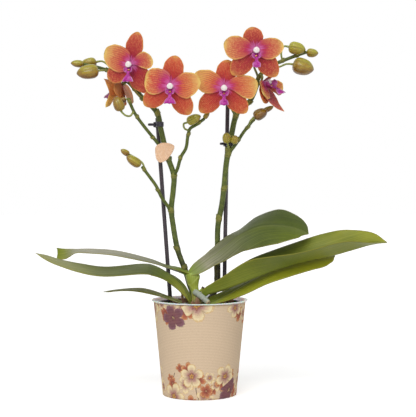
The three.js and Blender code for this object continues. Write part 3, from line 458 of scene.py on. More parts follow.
# Grow pot: thin dark moulded polypropylene, with ribs inside its rim
growPot = {
    "bottom": 3.3, "top": 104.6, "base": 34, "mouth": 46, "wall": 1, "flange": 1.6,
    "ribs": 24, "ribSize": (0.9, 0.7, 3.4), "ribDrop": 4.4,  # the ribs' middles hang this far below the top
}


def growPotRadius(height):
    p = growPot
    return p["base"] + (height - p["bottom"]) / (p["top"] - p["bottom"]) * (p["mouth"] - p["base"])


def darkPolypropylene():  # black recycled plastic, softly shiny, dusty from bark and water marks
    material, add, shader = newMaterial("darkPolypropylene", IOR=1.49)
    place = add("TexCoord", output=3)
    dust = add("TexNoise", {"Vector": place, "Scale": perMm(6), "Detail": 5})
    colour = add("ValToRGB", {0: dust}, stops=[(0.35, "#1d1b20"), (0.6, "#2b292d"), (0.8, "#4a4541")])
    rough = add("MapRange", {0: dust, 1: 0.3, 2: 0.8, 3: 0.35, 4: 0.7})
    return finishMaterial(material, shader, colour, rough, dust, 0.05)


def makeGrowPot():
    p = growPot
    top = p["top"]
    profile = [
        [0, p["bottom"]], [growPotRadius(p["bottom"]), p["bottom"]], [growPotRadius(top - 2.5), top - 2.5],
        [growPotRadius(top) + p["flange"], top - 1.6], [growPotRadius(top) + p["flange"], top],
        [growPotRadius(top) - 1, top], [growPotRadius(top - 4) - 1, top - 4],
        [growPotRadius(4.5) - 1, 4.5], [0, 4.5],
    ]
    shape = newShape()
    addTurned(shape, softened(profile, 0.5), sides=120)
    for i in range(p["ribs"]):  # short upright ribs inside the rim
        turn = 2 * math.pi * i / p["ribs"]
        radius = growPotRadius(98) - 1.1
        place = (radius * math.sin(turn), -radius * math.cos(turn), top - p["ribDrop"])
        addLump(shape, place, p["ribSize"], turnMatrix((0, 0, 1), math.degrees(turn)), 0.5, 6, 8)
    buildPiece("growPot", shape, darkPolypropylene(), ["grow_pot"])


makeGrowPot()
print("grow pot made")


# Bark: composted pine chips heaped in the grow pot, with loose chips on top and dried leaf sheaths round the stem
barkBed = {
    "bottom": 6, "edge": 96.5, "middle": 97, "heap": 7,
    "chips": 150, "chipLong": (4.5, 8.5), "chipWide": (3, 5), "chipThick": (1.4, 2.6),
    "spread": 40, "level": (97, 99), "tipped": 38,  # how far out and how high they lie, and how steeply in degrees
    "collar": [[-11, -8, 98], [1, -11.5, 98.5], [9, -7, 98.5], [-4, 9, 98], [-14, 2, 97.5], [5, 8, 98.2],
               [-3, -10, 100.6], [-16, -6, 98.6], [15, 5, 98.4], [24, -8, 98.6], [-24, 6, 98.4], [17, -12, 98.2]],
}


def compostedPineBark():  # dark red-brown to grey corky flakes, dull, with pale torn grain
    material, add, shader = newMaterial("compostedPineBark", IOR=1.45, Roughness=0.9)
    place = add("TexCoord", output=3)
    shade = add("Attribute", output=2, attribute_name="shade")
    grain = add("TexNoise", {"Vector": place, "Scale": perMm(1.6), "Detail": 5, "Roughness": 0.7})
    both = add("Math", {0: grain, 1: 0.55, 2: add("Math", {0: shade, 1: 0.6}, operation="MULTIPLY")},
               operation="MULTIPLY_ADD")
    colour = add("ValToRGB", {0: both}, stops=[(0.2, "#2a1a13"), (0.4, "#5e3c28"), (0.56, "#86563d"),
                                               (0.7, "#a17d68"), (0.86, "#c6b0a0")])
    return finishMaterial(material, shader, colour, None, grain, 0.5)


def makeBark():
    p = barkBed
    inner = lambda height: growPotRadius(height) - growPot["wall"] - 0.4
    profile = [[0, p["bottom"]], [inner(p["bottom"]), p["bottom"]], [inner(p["edge"]), p["edge"]],
               [30, p["middle"]], [15, p["middle"] - 1], [0, p["middle"]]]
    bed = newShape()
    addTurned(bed, softened(profile, 3), sides=64, shade=0.15)
    places = [(place, 1.1) for place in p["collar"]]
    for _ in range(p["chips"]):
        radius = p["spread"] * math.sqrt(chance.uniform(0.02, 1))
        turn = chance.uniform(0, 2 * math.pi)
        height = chance.uniform(*p["level"]) + p["heap"] * max(math.cos(turn), 0) * radius / p["spread"]
        places.append(([radius * math.sin(turn), radius * math.cos(turn), height], 1))
    for place, grow in places:
        sizes = [grow * chance.uniform(*p[key]) for key in ("chipLong", "chipWide", "chipThick")]
        turn = turnMatrix((0, 0, 1), chance.uniform(0, 360))
        turn = turn @ turnMatrix((1, 0.4, 0), chance.uniform(-p["tipped"], p["tipped"]))
        addLump(bed, place, sizes, turn, 0.55, 8, 12, 0.07, shade=chance.uniform(0, 1))
    buildPiece("barkChips", bed, compostedPineBark(), ["bark_medium"])


makeBark()
print("bark made")


# Dried sheaths: papery remains of old leaves that stand round the foot of the stem
driedSheaths = [  # foot, top, width at the foot, and which way it faces
    {"foot": [-15, -3, 95], "top": [-21.5, -5, 116], "wide": 5.5, "face": [-0.5, -1, 0]},
    {"foot": [-12, 3, 95], "top": [-17.5, 3, 111], "wide": 6, "face": [-1, -0.5, 0]},
    {"foot": [22, -3, 95], "top": [31, -6, 109], "wide": 5, "face": [0.3, -1, 0]},
    {"foot": [-3, -9, 97], "top": [-2, -9, 112.5], "wide": 8, "face": [0.1, -1, 0]},
    {"foot": [-9, -9, 97], "top": [-8, -10.5, 107], "wide": 6, "face": [-0.3, -1, 0]},
    {"foot": [11, 3, 95], "top": [16, 5, 110], "wide": 6, "face": [0.4, -1, 0]},
]


def driedLeafTissue():  # thin brown paper-like skin, straw at the tip and pinkish at the foot, with parallel fibres
    material, add, shader = newMaterial("driedLeafTissue", IOR=1.45, Roughness=0.75)
    across, along = (add("Attribute", output=2, attribute_name=key) for key in ("across", "along"))
    fibre = add("Math", {0: add("Math", {0: across, 1: 26}, operation="MULTIPLY")}, operation="SINE")
    blotch = add("TexNoise", {"Vector": add("TexCoord", output=3), "Scale": perMm(3), "Detail": 4})
    tone = add("Math", {0: along, 1: 0.5, 2: add("Math", {0: blotch, 1: 0.6}, operation="MULTIPLY")},
               operation="MULTIPLY_ADD")
    colour = add("ValToRGB", {0: tone}, stops=[(0.2, "#5b3a30"), (0.45, "#8a5f4b"), (0.65, "#ab8767"),
                                               (0.9, "#cdb48f")])
    return finishMaterial(material, shader, colour, None, fibre, 0.12)


def makeDriedSheaths():
    shape = newShape()
    u = np.linspace(0, 1, 22)[:, None]
    v = np.linspace(-1, 1, 13)[None]
    halfThick = 0.18
    for i, sheath in enumerate(driedSheaths):
        foot, top, face = (np.array(sheath[key], float) for key in ("foot", "top", "face"))
        rise, face = unit(top - foot), unit(face)
        side = unit(np.cross(rise, face))
        face = np.cross(side, rise)
        half = sheath["wide"] / 2 * (1 - u ** 1.7) ** 0.8 + 0.12
        torn = 0.5 * np.sin(9 * u + 3 * v + i) * u
        hollow = 1.3 * (1 - v ** 2) * (1 - 0.5 * u) - 2.2 * u ** 3 + torn
        middle = foot + (top - foot) * u[..., None] + side * (half * v)[..., None] + face * hollow[..., None]
        addSkin(shape, middle + face * halfThick, middle - face * halfThick, along=u, across=v)
    buildPiece("driedSheaths", shape, driedLeafTissue(), ["bark_medium"])


makeDriedSheaths()
print("dried sheaths made")


# Stem: the short fleshy stem of overlapped leaf sheaths, with the cut stub of an old flower spike
plantStem = {
    "centre": (-4.5, -1),
    "profile": [[0, 84], [5, 86], [7.6, 94], [7.2, 100], [5.8, 106], [4.7, 112], [4.7, 117], [5.6, 122],
                [7.4, 127], [8.9, 132], [8.8, 135.5], [6, 138.8], [0, 140]],
    "flatness": 0.86,  # it is narrower from front to back
    "sheathEdges": [99, 108.5, 119, 128], "lean": -3.4,
    "stub": [[-1, -3.5, 116.5], [2, -5, 118], [4.4, -6, 121.2]],
}


def sheathTissue():  # bright yellow-green and fleshy, waxy, paler where sheaths overlap, brown near the bark
    material, add, shader = newMaterial("sheathTissue", IOR=1.42, Roughness=0.36)
    up, edge, dry = (add("Attribute", output=2, attribute_name=key) for key in ("up", "edge", "dry"))
    place = add("TexCoord", output=3)
    blotch = add("TexNoise", {"Vector": place, "Scale": perMm(5), "Detail": 4})
    tone = add("Math", {0: blotch, 1: 14, 2: up}, operation="MULTIPLY_ADD")
    tone = add("MapRange", {0: tone, 1: 108, 2: 150})
    colour = add("ValToRGB", {0: tone}, stops=[(0.0, "#5c4630"), (0.14, "#86773c"), (0.3, "#a5b045"),
                                               (0.62, "#a1ac42"), (0.85, "#8fa43f")])
    streaks = add("TexWave", {"Vector": place, "Scale": perMm(7), "Distortion": 2, "Detail": 2}, output=1,
                  bands_direction="X")
    streaks = add("Math", {0: streaks, 1: 0.22}, operation="MULTIPLY")
    return finishMaterial(material, shader, colour, None, blotch, 0.15, [
        (streaks, "#c3d070"), (edge, "#c9cf8a"), (dry, "#4b3a2a")])


def makePlantStem():
    p = plantStem
    shape = newShape()
    profile = smoothCurve(p["profile"], np.linspace(0, 1, 110))
    sides = 72
    turn = np.linspace(0, 2 * math.pi, sides, endpoint=False)[None]
    radius, height = np.maximum(profile[:, :1], 0), profile[:, 1:2]
    step = np.zeros((len(profile), sides))
    line = np.zeros_like(step)
    for i, level in enumerate(p["sheathEdges"]):
        lean = 1 if i % 2 else -1  # sheaths clasp the stem from the left and the right in turn
        edge = level + lean * 5.5 * np.sin(turn) - 1.5 * np.cos(2 * turn)
        step = step + 0.035 * (1 - 2 * ease(height, edge - 0.35, edge + 0.35))
        line = np.maximum(line, np.exp(-((height - edge) / 0.4) ** 2))
    wide = radius * (1 + step + 0.02 * np.cos(5 * turn + height * 0.05))
    x = p["centre"][0] + p["lean"] * ease(height, 112, 130) + wide * np.sin(turn)
    y = p["centre"][1] - wide * np.cos(turn) * p["flatness"]
    up = height * np.ones_like(turn)
    addGrid(shape, np.stack([x, y, up], -1), around=True, up=up, edge=line * 0.25)
    stub = evenLine(p["stub"], 0.5)
    run = np.linspace(0, 1, len(stub))
    addStem(shape, stub, 1.5 + 0.5 * run ** 3, 14, (0.5, 0.15), up=118 + 0 * run, dry=ease(run, 0.72, 0.9))
    buildPiece("plantStem", shape, sheathTissue(), ["plant_crown"])


makePlantStem()
print("stem made")


# Aerial roots: silvery velamen over a green core, greener where it is wet
aerialRoots = {
    "aerial_root_front": {"radius": 3.4, "points": [[-5, -4.5, 115.8], [-0.6, -8.8, 113.2], [4.6, -13.6, 109.4],
                                                    [10, -18, 104.9]]},
    "aerial_root_left": {"radius": 2.3, "points": [[-6, 0, 99], [-17, -9, 102], [-25, -21, 100.5], [-30, -28, 98]]},
    "aerial_root_right": {"radius": 2.2, "points": [[-3, -4, 95], [8, -15, 98.5], [22, -23, 100], [33, -25, 98]]},
}


def velamen():  # spongy grey-white skin with a green cast and fine cracks along the root
    material, add, shader = newMaterial("velamen", IOR=1.4, Roughness=0.62)
    place = add("TexCoord", output=3)
    along = add("Attribute", output=2, attribute_name="along")
    mottle = add("TexNoise", {"Vector": place, "Scale": perMm(2.2), "Detail": 5, "Roughness": 0.65})
    colour = add("ValToRGB", {0: mottle}, stops=[(0.25, "#8b9987"), (0.5, "#a9b2a4"), (0.7, "#c0c5b8"),
                                                 (0.85, "#d8dacd")])
    worn = add("MapRange", {0: along, 1: 0.9, 2: 1.0})
    return finishMaterial(material, shader, colour, None, mottle, 0.3, [(worn, "#c9b992")])


def makeRoots():
    skin = velamen()
    for name, root in aerialRoots.items():
        line = evenLine(root["points"], 0.7)
        run = np.linspace(0, 1, len(line))
        wobble = 1 + 0.05 * np.sin(run * 23) + 0.03 * np.sin(run * 51 + 1)
        shape = newShape()
        addStem(shape, line, root["radius"] * (1 - 0.15 * run) * wobble, 24, (0.5, 0.25), 5, 0.025, along=run)
        buildPiece(name.replace("aerial_root_", "aerialRoot_"), shape, skin, [name])


makeRoots()
print("roots made")


# Leaves: stations along the midrib are x, y, z, half-width, and how far the halves towards -Y and +Y rise from
# level in degrees. glow is how yellow-green each half is, near half first: partly the leaf's own colour and partly
# painted light, where light would come through the blade and where shade is lifted. The sheen values give how
# strong the painted grey sheen, a painted reflection, is on the upper face, both in even steps from base to tip.
leaves = {
    "leaf_right_top": {"side": 1, "glow": ((0.1, 0.1, 0.2, 0.45), (0.1, 0.02, 0.02, 0.25)),
        "bloom": (0.1, 0.7, 0.35, 0.05, 0, 0), "waves": 2.5, "stations": [
        [-11, -6, 137.5, 4.5, -60, 40], [-4, -6, 142.5, 7.5, -76, 45], [4, -5, 148.5, 9.5, -76, 42],
        [11.5, -4, 154, 10.5, -76, 40], [20.5, -3, 160, 12.5, -76, 38],
        [33, -4, 170.5, 16, -72, 27], [45.5, -5, 180, 21, -66, 14], [66.5, -7, 189.3, 27, -56, 26],
        [88, -9, 190.8, 28, -44, 41], [103.5, -10, 189, 23, -38, 40], [115, -11, 185.5, 15, -36, 38],
        [122, -12, 181.3, 0.6, -35, 35]]},
    "leaf_right_middle": {"side": 1, "glow": ((0.45, 0.5, 0.5, 0.33, 0.6, 0.6, 0.55), (0.2, 0.1, 0.45, 0.8, 0.95)),
        "bloom": (0.1, 0.12, 0.12, 0.03, 0.1, 0.05, 0), "waves": 3, "stations": [
        [-1, -2, 107, 4, 30, 40], [9, -6.5, 114.5, 8, 60, 62], [20.5, -10, 118, 11.5, 74, 66],
        [33, -12, 122.3, 15, 76, 64], [56.5, -14, 132, 22, 66, 58], [79.5, -15, 141, 27, 40, 48],
        [103, -16, 148.5, 29, 27, 47], [126.5, -17, 154.5, 29, 26, 52], [149.5, -18, 159.7, 27, 30, 64],
        [170.5, -19, 165.8, 22, 26, 80], [192, -20, 171.8, 13, 6, 74], [208, -21, 172.3, 0.6, 0, 60]]},
    "leaf_right_low": {"side": 1, "glow": ((0.7, 0.9, 1.05, 1.1), (0.8, 0.7, 0.4, 0.25)),
        "bloom": (0, 0), "waves": 2, "stations": [
        [-2, 1, 98.5, 5, 30, 40], [13, 1, 104, 7, -10, 50], [25, 0, 110, 9.5, -35, 30],
        [45.5, -1, 121.5, 14, -43, 12], [70.5, -1, 135.5, 18, -38, 6], [96, -2, 146, 21, -36, 4],
        [120, -3, 153, 21, -36, 0], [134, -5, 155.4, 18.5, -40, 2],
        [143, -6, 156.5, 15.5, -40, 4], [148.5, -7, 156.8, 11, -40, 4], [151.3, -7.3, 156.6, 6, -40, 4],
        [152.2, -7.5, 156.4, 0.6, -40, 4]]},
    "leaf_left_long": {"side": -1, "glow": ((1.0, 1.0, 0.85, 0.45, 0.12, 0.2, 0.65, 0.85, 0.95),
                                            (0.7, 0.4, 0.15, 0.5, 0.9)),
        "bloom": (0.05, 0.14, 0, 0.15, 0.4, 0.3), "waves": 3.5, "stations": [
        [-7, -3, 96, 4.5, 30, 40], [-10.5, -7.5, 104, 5.5, 10, 40], [-14, -11, 114.5, 6.5, -30, 30],
        [-22, -14, 126.8, 9.5, -42, 10], [-34, -18, 137.3, 14, -32, -6], [-49, -22, 146.2, 20, -29, -8],
        [-64, -25, 148.6, 24, -24, -8], [-102.5, -32, 145.5, 26, -20, -6], [-129.5, -36, 149, 24, -19, -5],
        [-153, -39, 153.6, 17.5, -13, -2], [-169, -41, 158.4, 11, -10, 0], [-178, -42, 161.4, 0.6, -8, 0]]},
    "leaf_left_top": {"side": -1, "glow": ((0.3, 0.05, 0.05, 0.1, 0.1, 0.2, 0.4, 0.6, 0.7, 0.7, 0.6, 0.6, 0.6),
                                           (0.1, 0.3, 0.7)),
        "bloom": (0, 0.1, 0.2, 0.45, 0.75, 0.8, 0.7, 0.4, 0.1, 0, 0, 0, 0), "waves": 3, "stations": [
        [-8, -1, 133, 4.5, 40, 40], [-20, -1, 138.5, 7, 10, 30], [-37, -1, 144.6, 12, -2, 8],
        [-58, 0, 152.4, 18, -5, 2], [-94.5, 0, 160.8, 25, -5, 0], [-127, -1, 163.2, 24, -6, 0],
        [-139, -2, 164.4, 21.5, -11, -10], [-147, -3, 165, 18.5, -30, -30], [-153, -4, 165.2, 16.5, -48, -50],
        [-156.6, -4, 165.6, 15, -62, -56], [-158.8, -4, 165.9, 12.5, -70, -60], [-160.2, -4, 165.9, 8.5, -74, -60],
        [-161, -4, 165.7, 0.6, -76, -60]]},
    "leaf_left_small": {"side": -1, "glow": ((0.8, 1.2, 1.6), (0.8, 1.6)),
        "bloom": (0.15, 0.25), "waves": 2, "stations": [
        [-8, 1, 97.5, 4, 20, 40], [-24.5, 2, 104.6, 6, -8, 20], [-44, 3, 113, 7.5, -16, 8],
        [-61, 4, 117.8, 9, -16, 2], [-77.5, 5, 119, 9, -14, 0], [-96, 7, 117.6, 6.5, -10, -4],
        [-109.5, 8, 115.3, 0.6, -5, -4]]},
}
leafBlade = {
    "thickness": 1.6, "keel": 0.5, "channel": 0.45, "channelWide": 1.3,
    "arch": 9,  # degrees by which each half curves down towards its margin
    "veinSpacing": 1.9,  # real veins are near 1 mm apart, drawn coarser to show
    "wave": 0.5,
}


def leafTissue():  # thick waxy blade: deep green under a painted grey sheen, yellow-green partly its own and partly painted light coming through, pale margin
    p = leafBlade
    material, add, shader = newMaterial("leafTissue", **{"IOR": 1.45, "Specular IOR Level": 0.25})
    along, veinPlace, rim, under, glow, bloom = (
        add("Attribute", output=2, attribute_name=key)
        for key in ("along", "acrossMm", "rim", "under", "glow", "bloom"))
    place = add("TexCoord", output=3)
    cloud = add("TexNoise", {"Vector": place, "Scale": perMm(16), "Detail": 4})
    streakPlace = add("CombineXYZ", {0: add("Math", {0: along, 1: 3.5}, operation="MULTIPLY"), 1: veinPlace})
    streak = add("TexNoise", {"Vector": streakPlace, "Scale": 0.6, "Detail": 4, "Roughness": 0.65})
    # glow is partly the leaf's own yellow-green and partly painted light: light through the blade and lifted shade
    tone = add("Math", {0: cloud, 1: 0.25, 2: add("Math", {0: glow, 1: 0.75}, operation="MULTIPLY")},
               operation="MULTIPLY_ADD")
    tone = add("Math", {0: streak, 1: 0.5, 2: add("Math", {0: tone, 1: -0.12}, operation="ADD")},
               operation="MULTIPLY_ADD")
    top = add("ValToRGB", {0: tone}, stops=[(0.15, "#303d0e"), (0.36, "#455412"), (0.55, "#5c6a15"),
                                            (0.75, "#788217"), (1.0, "#9a9c20")])
    bottom = add("ValToRGB", {0: tone}, stops=[(0.15, "#4c5a18"), (0.45, "#616e1e"), (0.7, "#7b8226"),
                                               (1.0, "#9c9a30")])
    wander = add("Math", {0: cloud, 1: 1.2, 2: veinPlace}, operation="MULTIPLY_ADD")
    vein = add("Math", {0: wander, 1: p["veinSpacing"] / 2}, operation="PINGPONG")
    vein = add("MapRange", {0: vein, 1: 0.0, 2: 0.42, 3: 1, 4: 0}, interpolation_type="SMOOTHSTEP")
    paleVein = add("Math", {0: vein, 1: 0.2}, operation="MULTIPLY")
    # painted reflection: a grey sheen laid over the upper face, as if the white room were mirrored in it
    paintedSheenShare = add("MapRange", {0: streak, 1: 0.3, 2: 0.6, 3: 0.45, 4: 1.1})
    paintedSheenShare = add("Math", {0: bloom, 1: paintedSheenShare}, operation="MULTIPLY")
    foot = add("MapRange", {0: along, 1: 0.02, 2: 0.2, 3: 0.8, 4: 0})
    middle = add("Math", {0: veinPlace}, operation="ABSOLUTE")
    middle = add("MapRange", {0: middle, 1: 0.25, 2: 1.1, 3: 0.55, 4: 0})
    margin = add("MapRange", {0: rim, 1: 0.3, 2: 1.3, 3: 0.75, 4: 0})
    speck = add("TexNoise", {"Vector": place, "Scale": perMm(0.9), "Detail": 2})
    rough = add("MapRange", {0: speck, 1: 0.3, 2: 0.7, 3: 0.36, 4: 0.5})
    relief = add("Math", {0: vein, 1: -0.6, 2: speck}, operation="MULTIPLY_ADD")
    return finishMaterial(material, shader, top, rough, relief, 0.06, [
        (under, bottom), (paleVein, "#8d935c"), (paintedSheenShare, "#b2ac93"), (foot, "#8a9f3e"), (middle, "#6c7440"),
        (margin, "#8f8a35")])


def addLeaf(shape, leaf, rows=150, columns=40):
    p = leafBlade
    stations = np.array(leaf["stations"], float)
    u = np.linspace(0, 1, rows + 1)
    u = 0.5 * u + 0.5 * np.sin(math.pi / 2 * u)  # closer together towards the tip
    midrib = smoothCurve(stations[:, :3], u, True)
    wide, near, far = smoothCurve(stations[:, 3:], u, True).T[:, :, None]
    wide = np.maximum(wide, 0.3)
    heading = unit(np.gradient(midrib, axis=0))
    front = unit(np.array([0.0, -1, 0]) + heading * heading[:, 1:2])  # faces -Y, square to the midrib
    up = np.cross(front, heading) * leaf["side"]
    s = np.linspace(-1, 1, columns + 1)
    s = np.sign(s) * (0.55 * np.abs(s) + 0.45 * np.abs(s) ** 2)[None] * np.ones((rows + 1, 1))
    arch = p["arch"] * (1 - 2 * np.abs(s)) * ease(u, 0.02, 0.2)[:, None]
    over = ease(s, -0.1, 0.1)
    slope = np.radians(-(near + arch) * (1 - over) + (far + arch) * over)
    gaps = np.diff(s, axis=1)
    middle = columns // 2
    runs = []
    for part in (np.cos(slope), np.sin(slope)):
        total = np.cumsum((part[:, 1:] + part[:, :-1]) / 2 * gaps, axis=1)
        total = np.hstack([np.zeros((rows + 1, 1)), total])
        runs.append((total - total[:, middle:middle + 1]) * wide)
    normal = np.sin(slope)[..., None] * front[:, None] + np.cos(slope)[..., None] * up[:, None]
    blade = midrib[:, None] - runs[0][..., None] * front[:, None] + runs[1][..., None] * up[:, None]
    acrossMm = s * wide
    ends = (ease(u, 0.0, 0.06) * (1 - ease(u, 0.9, 1)))[:, None]
    wave = p["wave"] * s ** 2 * np.sin(2 * math.pi * leaf["waves"] * u[:, None] + np.sign(s)) * ends
    channel = -p["channel"] * np.exp(-(acrossMm / p["channelWide"]) ** 2) * ends
    ridges = 0.05 * np.cos(2 * math.pi * acrossMm / p["veinSpacing"]) * ends
    relief = wave + channel + ridges
    keel = p["keel"] * np.exp(-(acrossMm / 2.2) ** 2) * ends
    thick = p["thickness"] * (1 - 0.62 * s ** 2) * (1 - 0.5 * ease(u, 0.9, 1)[:, None]) + keel
    top = blade + normal * relief[..., None]
    bottom = blade + normal * (wave - thick)[..., None]
    steps = lambda values: np.interp(u, np.linspace(0, 1, len(values)), values)[:, None]
    # painted light in part: the glow values lift halves that lie in shade and paint light coming through
    nearGlow, farGlow = (steps(values) for values in leaf["glow"])
    glow = (1 - over) * nearGlow + over * farGlow
    length = np.linalg.norm(np.diff(midrib, axis=0), axis=1).sum()
    rim = np.minimum(wide * (1 - np.abs(s)), length * (1 - u)[:, None])
    addSkin(shape, top, bottom, along=u[:, None], acrossMm=acrossMm, rim=rim, under=(0, 1), glow=glow,
            bloom=(steps(leaf["bloom"]), 0))


def makeLeaves():
    tissue = leafTissue()
    for name, leaf in leaves.items():
        shape = newShape()
        addLeaf(shape, leaf)
        buildPiece(name.replace("leaf_", "leaf."), shape, tissue, [name])


makeLeaves()
print("leaves made")


# Flower spikes, from the plant to the tip. joints are where a branch or a scale sits: height, scale length and
# the way that the scale faces. flush is how purple-brown the skin is, as pairs of height and strength.
spikes = {
    "left": {
        "points": [[-6, 2, 110], [-11, 4.5, 122], [-15.5, 6.5, 137], [-24.8, 8, 162.5], [-30.2, 9, 191],
                   [-32.2, 9, 209], [-30, 8, 230.5], [-29.3, 7, 247], [-37, 6, 270.5], [-43.8, 5, 299],
                   [-48.2, 3, 318], [-65.2, 0, 335.7], [-79.6, -3, 351.8], [-91.5, -5, 361], [-104, -7, 365.2],
                   [-115, -8.5, 368.3], [-129, -9.5, 371.3]],
        "joints": [(141, 6, (0.8, -1, 0)), (163.4, 5, (-1, -0.4, 0)), (206.5, 7, (-1, -0.6, 0)),
                   (245.5, 6, (1, -0.8, 0)), (266, 7, (-1, -0.6, 0)), (316, 6, (1, -0.8, 0)),
                   (333, 5, (-0.6, -1, 0)), (344, 5, (0.4, -1, 0.4)), (361, 4, (0, -1, 0.8)),
                   (364.6, 3.5, (0, -1, 0))],
        "flush": [(110, 0.1), (138, 0.95), (158, 0.7), (170, 0.35), (205, 0.2), (212, 0.05), (372, 0.25)],
    },
    "right": {
        "points": [[-3, 1, 99], [8, 7.5, 104], [16, 12, 113], [20, 15, 127], [20.4, 16, 160], [20.9, 15.5, 190],
                   [25.5, 14, 215], [27.8, 13, 234], [30.5, 11, 262], [35.7, 9, 291], [43.2, 6, 319],
                   [57, 2, 331.5], [63.6, -1, 345.7], [66.4, -3, 357], [71.5, -5, 363.5], [79, -6, 370],
                   [90.3, -7, 374.3], [108, -9, 381], [119, -10, 384.6]],
        "joints": [(128, 17, (-1, -1, 0)), (151, 6, (0.6, -1, 0)), (197, 7, (-1, -1, 0)), (232, 6, (1, -0.8, 0)),
                   (269.5, 7, (1, -0.6, 0)), (275.5, 4, (-0.6, -1, 0)), (289.5, 4, (0.9, -1, 0)),
                   (314, 6, (-1, -0.8, 0)), (330, 5, (1, -0.6, 0)), (349, 5, (-0.8, -1, 0)), (357.5, 4, (0.6, -1, 0)),
                   (369.5, 4, (0, -1, -0.5)), (375, 4, (0, -1, 0.8)), (381, 3.5, (0, -1, 0))],
        "flush": [(99, 0.8), (112, 1.6), (140, 1.6), (153, 0.5), (200, 0.2), (290, 0.05), (384, 0.2)],
    },
}
branches = {
    "branch_left_upper": {"spike": "left", "points": [
        [-36, 6, 268], [-44, 4.5, 279], [-50, 1, 287], [-61.6, -8, 301.2], [-72, -14, 315.8], [-77, -17.5, 327],
        [-78.2, -17.5, 331.5]], "scales": [0.35, 0.72, 0.95]},
    "branch_left_lower": {"spike": "left", "points": [
        [-33.5, 8, 209], [-42.5, 2, 221.7], [-49, -2, 235.2], [-56.8, -5, 246.3], [-64, -8, 256]],
        "scales": [0.45, 0.93]},
    "branch_left_inner": {"spike": "left", "points": [
        [-30, 7, 247], [-25.5, 1, 253.5], [-21, -4, 267.7], [-15.2, -7, 277.7], [-13, -10, 291],
        [-10.5, -12.5, 299], [-4, -15, 303], [5, -17.3, 309.4]], "scales": [0.3, 0.66, 0.9]},
    "branch_right": {"spike": "right", "points": [
        [32.5, 10, 272], [41.2, 4, 283], [49, 0, 295], [56.8, -4, 305], [62, -6.5, 311.5]],
        "scales": [0.4, 0.72, 0.94]},
}
stemSkin = {
    "spikeLow": 3.15, "spikeHigh": 1.8, "branch": 2.0, "swelling": 0.12, "scaleThick": 0.3,
    "spikeStep": 1.1, "branchStep": 0.9,  # distance between the rings of points along a stem
}


def flowerStemSkin():  # smooth waxy green with olive and purple-brown freckles, paler rings at the joints
    material, add, shader = newMaterial("flowerStemSkin", **{"IOR": 1.43, "Specular IOR Level": 0.4})
    place = add("TexCoord", output=3)
    flush, ring, scale = (add("Attribute", output=2, attribute_name=key) for key in ("flush", "ring", "scale"))
    mottle = add("TexNoise", {"Vector": place, "Scale": perMm(5), "Detail": 5, "Roughness": 0.6})
    colour = add("ValToRGB", {0: mottle}, stops=[(0.28, "#47561f"), (0.5, "#5b6829"), (0.68, "#707a33"),
                                                 (0.85, "#858638")])
    freckle = add("TexNoise", {"Vector": place, "Scale": perMm(0.8), "Detail": 2})
    spots = add("MapRange", {0: freckle, 1: 0.56, 2: 0.66, 3: 0, 4: 0.4})
    patch = add("MapRange", {0: mottle, 1: 0.3, 2: 0.62, 3: 1.0, 4: 0.45})
    patch = add("Math", {0: flush, 1: patch}, operation="MULTIPLY")
    scale = add("Math", {0: scale, 1: 0.85}, operation="MULTIPLY")
    scaleTone = add("ValToRGB", {0: mottle}, stops=[(0.3, "#6b7234"), (0.55, "#8f8c40"), (0.8, "#a8924e")])
    rough = add("MapRange", {0: freckle, 1: 0.3, 2: 0.7, 3: 0.36, 4: 0.5})
    return finishMaterial(material, shader, colour, rough, mottle, 0.15, [
        (spots, "#4b4a2e"), (ring, "#a59a54"), (scale, scaleTone), (patch, "#251c17")])


# A pointed scale that clasps a stem, from one place on its line
def addScale(shape, line, radii, at, length, facing, spread=110, lift=1.1, flush=0.0):
    step = np.linalg.norm(np.diff(line, axis=0), axis=1).mean()
    count = max(4, int(length / step))
    start = int(min(max(at, 0), len(line) - 2))
    index = np.clip(np.arange(start, start + count + 1), 0, len(line) - 1)
    heading, side, other = axesAlong(line)
    u = np.linspace(0, 1, 15)
    place = np.interp(u * (len(index) - 1), np.arange(len(index)), index)
    pick = lambda values: np.stack([np.interp(place, np.arange(len(values)), values[:, k]) for k in range(3)], -1)
    centre, along, x, y = pick(line), unit(pick(heading)), unit(pick(side)), unit(pick(other))
    beyond = np.maximum(start + u * length / step - (len(line) - 1), 0) * step
    centre = centre + along * beyond[:, None]
    radius = np.interp(place, np.arange(len(radii)), radii)
    facing = unit(np.asarray(facing, float))
    middle = math.atan2(facing @ y[0], facing @ x[0])
    half = np.radians(spread) * (1 - u ** 2.2) ** 0.8 + 0.06
    v = np.linspace(-1, 1, 15)
    turn = middle + half[:, None] * v[None]
    off = (radius * 1.03 + 0.12 + lift * u ** 2.5)[:, None] + 0.3 * np.sin(math.pi * u)[:, None]
    out = np.cos(turn)[..., None] * x[:, None] + np.sin(turn)[..., None] * y[:, None]
    thick = stemSkin["scaleThick"] * (1 - 0.6 * np.abs(v) ** 3)[None] * (1 - 0.5 * u)[:, None]
    outer = centre[:, None] + out * (off + thick)[..., None]
    inner = centre[:, None] + out * off[..., None]
    addSkin(shape, outer, inner, scale=1, flush=flush, ring=0)


def lineAtHeight(line, height):
    return int(np.argmin(np.abs(line[:, 2] - height)))


